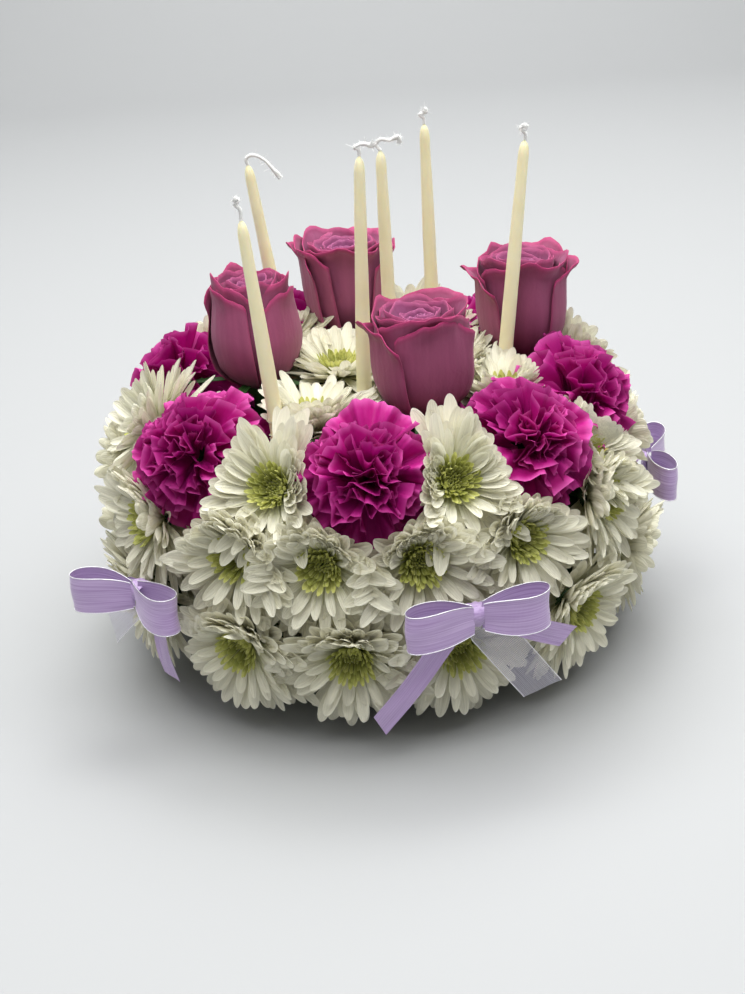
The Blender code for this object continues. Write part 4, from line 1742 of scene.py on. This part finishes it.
class Looks:
    """Makes every material of the cake."""

    WARP = 9.0
    WEFT = 2.0
    SATIN_THREADS = 120.0
    SHEER_THREADS = 44.0
    PETAL_GLOSS = 0.3

    def __init__(self) -> None:
        """Make the shared groups."""
        self.veins = self._vein_group()
        self.weave = self._weave_group()

    @staticmethod
    def _group(name: str, given: str, results: tuple[str, ...]) -> tuple[Nodes, object, object]:
        """Start a shader node group.

        Args:
            name: Its name.
            given: Name of the value that it takes.
            results: Names of the values that it gives.

        Returns:
            The nodes, the group's input node and its output node.
        """
        tree = bpy.data.node_groups.new(name, "ShaderNodeTree")
        tree.interface.new_socket(given, in_out="INPUT", socket_type="NodeSocketFloat")
        for label in results:
            tree.interface.new_socket(label, in_out="OUTPUT", socket_type="NodeSocketFloat")
        nodes = Nodes(tree)
        return nodes, nodes.add("NodeGroupInput"), nodes.add("NodeGroupOutput")

    def _vein_group(self) -> bpy.types.NodeTree:
        """Make the group of fine lines that run along a petal.

        Returns:
            The group, with input Veins and outputs for the height, the place and the tints.
        """
        labels = ("Height", "Along", "Across", "Tint", "Mottle", "Streak")
        nodes, start, end = self._group("petal_veins", "Veins", labels)
        place = nodes.add("ShaderNodeAttribute", attribute_name="place")
        parts = nodes.add("ShaderNodeSeparateXYZ", Vector=place.outputs["Vector"])
        along, across, tint = parts.outputs
        spot = nodes.spot()
        wobble = nodes.noise(spot, 260.0, 3.0)
        shifted = nodes.line(across, 0.35, wobble)
        lines = nodes.waves(shifted, nodes.math("MULTIPLY", start.outputs[0], math.pi))
        fine = nodes.noise(spot, 1500.0, 2.0)
        height = nodes.line(nodes.math("MULTIPLY", lines, 0.35), 0.5, fine)
        mottle = nodes.noise(spot, 90.0, 4.0)
        streak = nodes.streaks(place.outputs["Vector"], (1.6, 8.0, 31.0), 4.0)
        for label, value in zip(labels, (height, along, across, tint, mottle, streak)):
            nodes.feed(end.inputs[label], value)
        return nodes.tree

    def _weave_group(self) -> bpy.types.NodeTree:
        """Make the group of a ribbon's fine crossing threads and the streaks along it.

        Returns:
            The group, with outputs Height, Open and Streak.
        """
        nodes, start, end = self._group("ribbon_weave", "Count", ("Height", "Open", "Streak"))
        place = nodes.add("ShaderNodeAttribute", attribute_name="place")
        parts = nodes.add("ShaderNodeSeparateXYZ", Vector=place.outputs["Vector"])
        spot = nodes.spot()
        wobble = nodes.noise(spot, 420.0, 2.0)
        warp = nodes.waves(parts.outputs[0], nodes.math("MULTIPLY", start.outputs[0], self.WARP))
        weft = nodes.waves(parts.outputs[1], nodes.math("MULTIPLY", start.outputs[0], self.WEFT))
        crossing = nodes.math("MULTIPLY", nodes.math("ADD", warp, weft), 0.3)
        height = nodes.line(crossing, 0.4, wobble)
        streak = nodes.streaks(place.outputs["Vector"], (2.5, 15.0, 9.0), 3.0)
        hole = nodes.math("MULTIPLY", nodes.math("ADD", warp, 1.0), nodes.math("ADD", weft, 1.0))
        nodes.fill(end, Height=height, Open=nodes.math("MULTIPLY", hole, 0.25), Streak=streak)
        return nodes.tree

    @staticmethod
    def _material(name: str) -> tuple[bpy.types.Material, Nodes, bpy.types.Node, bpy.types.Node]:
        """Start a material.

        Args:
            name: Its name.

        Returns:
            The material, its nodes, its Principled BSDF and its output.
        """
        made = bpy.data.materials.new(name)
        made.use_nodes = True
        tree = made.node_tree
        return made, Nodes(tree), tree.nodes["Principled BSDF"], tree.nodes["Material Output"]

    def petal(self, name: str, finish: Finish, rim: float) -> bpy.types.Material:
        """Make a petal's material: its colour runs from foot to tip and towards the edges.

        Args:
            name: Its name.
            finish: Its numbers.
            rim: Share of the length at which the edge colour starts.

        Returns:
            The material.
        """
        made, nodes, shader, output = self._material(name)
        veins = nodes.add("ShaderNodeGroup", node_tree=self.veins, Veins=finish.veins)
        along, across = veins.outputs["Along"], veins.outputs["Across"]
        ease = nodes.span(along, 0.05, 0.34)
        # tip colour by tint; on the roses the lowest tint is the inner petals, whose lighter colour
        # is partly painted light on the rose's top
        tip_by_tint = nodes.mix(veins.outputs["Tint"], finish.low_tint_tip, finish.tip)
        colour = nodes.mix(ease, finish.base, tip_by_tint)
        side = nodes.math("MULTIPLY", nodes.math("ABSOLUTE", across), 0.96)
        border = nodes.math("MAXIMUM", along, side)
        top = nodes.span(border, rim, 1.0)
        ripe = nodes.line(0.25, 0.75, veins.outputs["Tint"])
        reddened = nodes.math("MULTIPLY", nodes.math("POWER", top, 1.6), ripe)
        colour = nodes.mix(reddened, colour, finish.edge)
        shade = nodes.line(0.62, 0.16, veins.outputs["Tint"])
        shade = nodes.line(shade, 0.40, veins.outputs["Streak"])
        shade = nodes.line(shade, 0.12, veins.outputs["Mottle"])
        vary = nodes.add("ShaderNodeHueSaturation", Value=shade, Color=colour)
        nodes.fill(shader, Base_Color=vary.outputs[0], Roughness=finish.roughness,
                   Specular_IOR_Level=self.PETAL_GLOSS, Sheen_Weight=finish.sheen,
                   Normal=nodes.bump(0.6, finish.depth, veins.outputs["Height"]))
        glow = nodes.add("ShaderNodeBsdfTranslucent", Color=vary.outputs[0])
        nodes.blend(finish.through, shader, glow, output)
        return made

    def wax(self) -> bpy.types.Material:
        """Make the ivory wax, soft with light inside.

        Returns:
            The material.
        """
        made, nodes, shader, _ = self._material("ivory_wax")
        spot = nodes.spot()
        cloud = nodes.noise(spot, 60.0, 3.0)
        colour = nodes.mix(cloud, (0.80, 0.74, 0.46), (0.88, 0.84, 0.60))
        fine = nodes.noise(spot, 380.0, 3.0)
        nodes.fill(shader, Base_Color=colour, Roughness=nodes.line(0.34, 0.14, fine),
                   Subsurface_Weight=0.45, Subsurface_Radius=(1.0, 0.85, 0.5),
                   Subsurface_Scale=3.0 * METRES, Normal=nodes.bump(0.25, 0.3, fine))
        return made

    def cotton(self) -> bpy.types.Material:
        """Make the wick's white cotton.

        Returns:
            The material.
        """
        made, nodes, shader, _ = self._material("white_cotton")
        fluff = nodes.noise(nodes.spot(), 2600.0, 4.0)
        colour = nodes.mix(fluff, (0.72, 0.72, 0.70), (0.92, 0.92, 0.90))
        nodes.fill(shader, Base_Color=colour, Roughness=0.9, Sheen_Weight=0.4,
                   Normal=nodes.bump(0.8, 0.2, fluff))
        return made

    def satin(self) -> bpy.types.Material:
        """Make the lavender satin with its fine weave.

        Returns:
            The material.
        """
        made, nodes, shader, _ = self._material("lavender_satin")
        weave = nodes.add("ShaderNodeGroup", node_tree=self.weave, Count=self.SATIN_THREADS)
        lines = nodes.span(weave.outputs["Streak"], 0.32, 0.68)
        colour = nodes.mix(lines, (0.37, 0.24, 0.49), (0.56, 0.42, 0.67))
        nodes.fill(shader, Base_Color=colour, Roughness=0.38, Anisotropic=0.5, Sheen_Weight=0.3,
                   Normal=nodes.bump(0.35, 0.15, weave.outputs["Height"]))
        return made

    def sheer(self) -> bpy.types.Material:
        """Make the sheer ribbon, which lets most light through between its threads.

        Returns:
            The material.
        """
        made, nodes, shader, output = self._material("sheer_ribbon")
        weave = nodes.add("ShaderNodeGroup", node_tree=self.weave, Count=self.SHEER_THREADS)
        nodes.fill(shader, Base_Color=(0.60, 0.58, 0.67, 1.0), Roughness=0.35, Sheen_Weight=0.5,
                   Normal=nodes.bump(0.3, 0.1, weave.outputs["Height"]))
        clear = nodes.add("ShaderNodeBsdfTransparent")
        share = nodes.line(0.12, 0.75, weave.outputs["Open"])
        share = nodes.line(share, 0.45, weave.outputs["Streak"])
        nodes.blend(share, shader, clear, output)
        return made

    def thread(self) -> bpy.types.Material:
        """Make the silvery edge thread.

        Returns:
            The material.
        """
        made, nodes, shader, _ = self._material("silver_thread")
        glint = nodes.noise(nodes.spot(), 1400.0, 1.0)
        colour = nodes.mix(glint, (0.70, 0.69, 0.75), (0.97, 0.97, 0.98))
        nodes.fill(shader, Base_Color=colour, Roughness=0.32, Metallic=0.6,
                   Normal=nodes.bump(1.0, 0.3, glint))
        return made

    def foam(self) -> bpy.types.Material:
        """Make the foam of the core, its dark green deepened by painted shade of the gaps under the
        flowers.

        Returns:
            The material.
        """
        made, nodes, shader, _ = self._material("flower_foam_painted_shade")
        spot = nodes.spot()
        pores = nodes.add("ShaderNodeTexVoronoi", Vector=spot, Scale=900.0).outputs["Distance"]
        cloud = nodes.noise(spot, 40.0, 5.0)
        # near-black greens: the foam's own green darkened with painted shade for the shaded gaps
        # under the flower heads
        colour = nodes.mix(cloud, (0.010, 0.030, 0.012), (0.025, 0.065, 0.025))
        nodes.fill(shader, Base_Color=colour, Roughness=0.95, Normal=nodes.bump(0.7, 0.5, pores))
        return made


@dataclass(frozen=True)
class Lamp:
    """One soft light.

    Attributes:
        name: Its name.
        place: Where it hangs, in metres.
        aim: Point that it faces, in metres.
        size: Side of its square, in metres.
        power: Its power in watts.
    """

    name: str
    place: tuple[float, float, float]
    aim: tuple[float, float, float]
    size: float
    power: float


class Studio:
    """The pale floor, the soft lights and the camera."""

    LAMPS = (
        Lamp("overhead", (0.10, 0.05, 1.5), (0.0, 0.0, 0.12), 2.2, 66.0),
        Lamp("front_fill", (-0.7, -1.4, 0.9), (0.0, 0.0, 0.1), 1.0, 2.0),
        Lamp("backdrop_wash", (0.0, 1.3, 2.4), (0.0, 2.3, 0.9), 1.4, 40.0),
    )
    EYE = (0.0, -0.8027, 0.4376)
    ACROSS = (0.998, -0.0239, -0.0586)
    UPRIGHT = (0.0632, 0.414, 0.9081)
    BACK = (0.0026, -0.91, 0.4146)
    FOCAL_PIXELS = 1600.0
    PHOTO_HEIGHT = 994.0
    SENSOR = 36.0
    FLOOR_SIDE = 3.0
    FLOOR_DEPTH = 1.6
    FLOOR_BEND = 0.6
    FLOOR_COLOUR = (0.35, 0.357, 0.36, 1.0)
    AIR_COLOUR = (0.95, 0.96, 0.97, 1.0)
    AIR_STRENGTH = 0.28

    def build(self) -> None:
        """Make the floor, the lights and the camera."""
        self._floor()
        for lamp in self.LAMPS:
            self._lamp(lamp)
        self._camera()
        world = bpy.data.worlds.new("studio_air")
        world.use_nodes = True
        air = world.node_tree.nodes["Background"]
        air.inputs["Color"].default_value = self.AIR_COLOUR
        air.inputs["Strength"].default_value = self.AIR_STRENGTH
        bpy.context.scene.world = world
        bpy.context.scene.view_settings.view_transform = "Standard"

    def _floor(self) -> None:
        """Make the seamless floor that curves up behind."""
        side, depth, bend = self.FLOOR_SIDE, self.FLOOR_DEPTH, self.FLOOR_BEND
        profile = [(-side, 0.0)]
        profile += [
            (depth + bend * math.sin(turn), bend - bend * math.cos(turn))
            for turn in np.linspace(0.0, math.pi / 2, 16)
        ]
        profile.append((depth + bend, side))
        mesh = bmesh.new()
        rows = [[mesh.verts.new((x, y, z)) for x in (-side, side)] for y, z in profile]
        for first, second in zip(rows, rows[1:]):
            mesh.faces.new((first[0], first[1], second[1], second[0]))
        data = bpy.data.meshes.new("studio_floor")
        mesh.to_mesh(data)
        mesh.free()
        data.shade_smooth()
        floor = link("studio_floor", data)
        made = bpy.data.materials.new("pale_floor")
        made.use_nodes = True
        shader = made.node_tree.nodes["Principled BSDF"]
        shader.inputs["Base Color"].default_value = self.FLOOR_COLOUR
        shader.inputs["Roughness"].default_value = 0.6
        data.materials.append(made)

    @staticmethod
    def _lamp(lamp: Lamp) -> None:
        """Hang one light.

        Args:
            lamp: The light.
        """
        data = bpy.data.lights.new(lamp.name, "AREA")
        data.energy = lamp.power
        data.size = lamp.size
        made = link(lamp.name, data)
        made.location = lamp.place
        aim = Vector(lamp.aim) - Vector(lamp.place)
        made.rotation_euler = aim.to_track_quat("-Z", "Y").to_euler()

    def _camera(self) -> None:
        """Set the camera where the photograph was taken from."""
        data = bpy.data.cameras.new("photo_camera")
        data.sensor_width = self.SENSOR
        data.lens = self.FOCAL_PIXELS / self.PHOTO_HEIGHT * self.SENSOR
        made = link("photo_camera", data)
        axes = Matrix((self.ACROSS, self.UPRIGHT, self.BACK)).transposed()
        made.matrix_world = Matrix.Translation(self.EYE) @ axes.to_quaternion().to_matrix().to_4x4()
        bpy.context.scene.camera = made


class FloralCake:
    """Puts the cake together."""

    def __init__(self) -> None:
        """Make the looks and the layout."""
        looks = Looks()
        white = looks.petal("white_petal", WHITE_PETAL, 0.75)
        heart = looks.petal("green_heart", HEART_PETAL, 0.7)
        green = looks.petal("green_leaf", GREEN_LEAF, 0.8)
        self.mum_looks = [white, heart, green]
        self.carnation_looks = [looks.petal("magenta_petal", MAGENTA_PETAL, 0.86), green]
        self.rose_looks = [looks.petal("mauve_petal", MAUVE_PETAL, 0.90), green]
        self.candle_looks = [looks.wax(), looks.cotton()]
        self.bow_looks = [looks.satin(), looks.sheer(), looks.thread()]
        self.foam = looks.foam()
        self.layout = Layout()

    def build(self, nodes: dict[str, bpy.types.Object]) -> None:
        """Make every piece and set it in place of its node.

        Args:
            nodes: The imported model's nodes.
        """
        around = Neighbours(self.layout.carnations)
        numbers = range(1, len(CANDLE_LINES) + 1)
        makers: list[Piece] = [
            *(Chrysanthemum(site, around, self.mum_looks) for site in self.layout.mums),
            *(Carnation(site, self.carnation_looks) for site in self.layout.carnations),
            *(Rose(label, self.rose_looks) for label in Rose.PLACES),
            *(Candle(number, self.candle_looks) for number in numbers),
            *(Bow(label, self.bow_looks) for label in Bow.FORMS),
        ]
        for maker in makers:
            self._settle(maker.make(), maker.node, maker.SLOT)
        core = nodes["core"]
        core.data.materials.clear()
        core.data.materials.append(self.foam)

    @staticmethod
    def _settle(piece: bpy.types.Object, node: str, slot: Slot) -> None:
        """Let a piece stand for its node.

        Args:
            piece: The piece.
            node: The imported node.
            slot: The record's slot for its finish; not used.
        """
        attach(piece, BODY)
        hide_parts(node)


def main() -> None:
    """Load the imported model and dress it."""
    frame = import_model()
    Studio().build()
    FloralCake().build(frame["nodes"])
    bpy.context.view_layer.update()


if __name__ == "__main__":
    main()
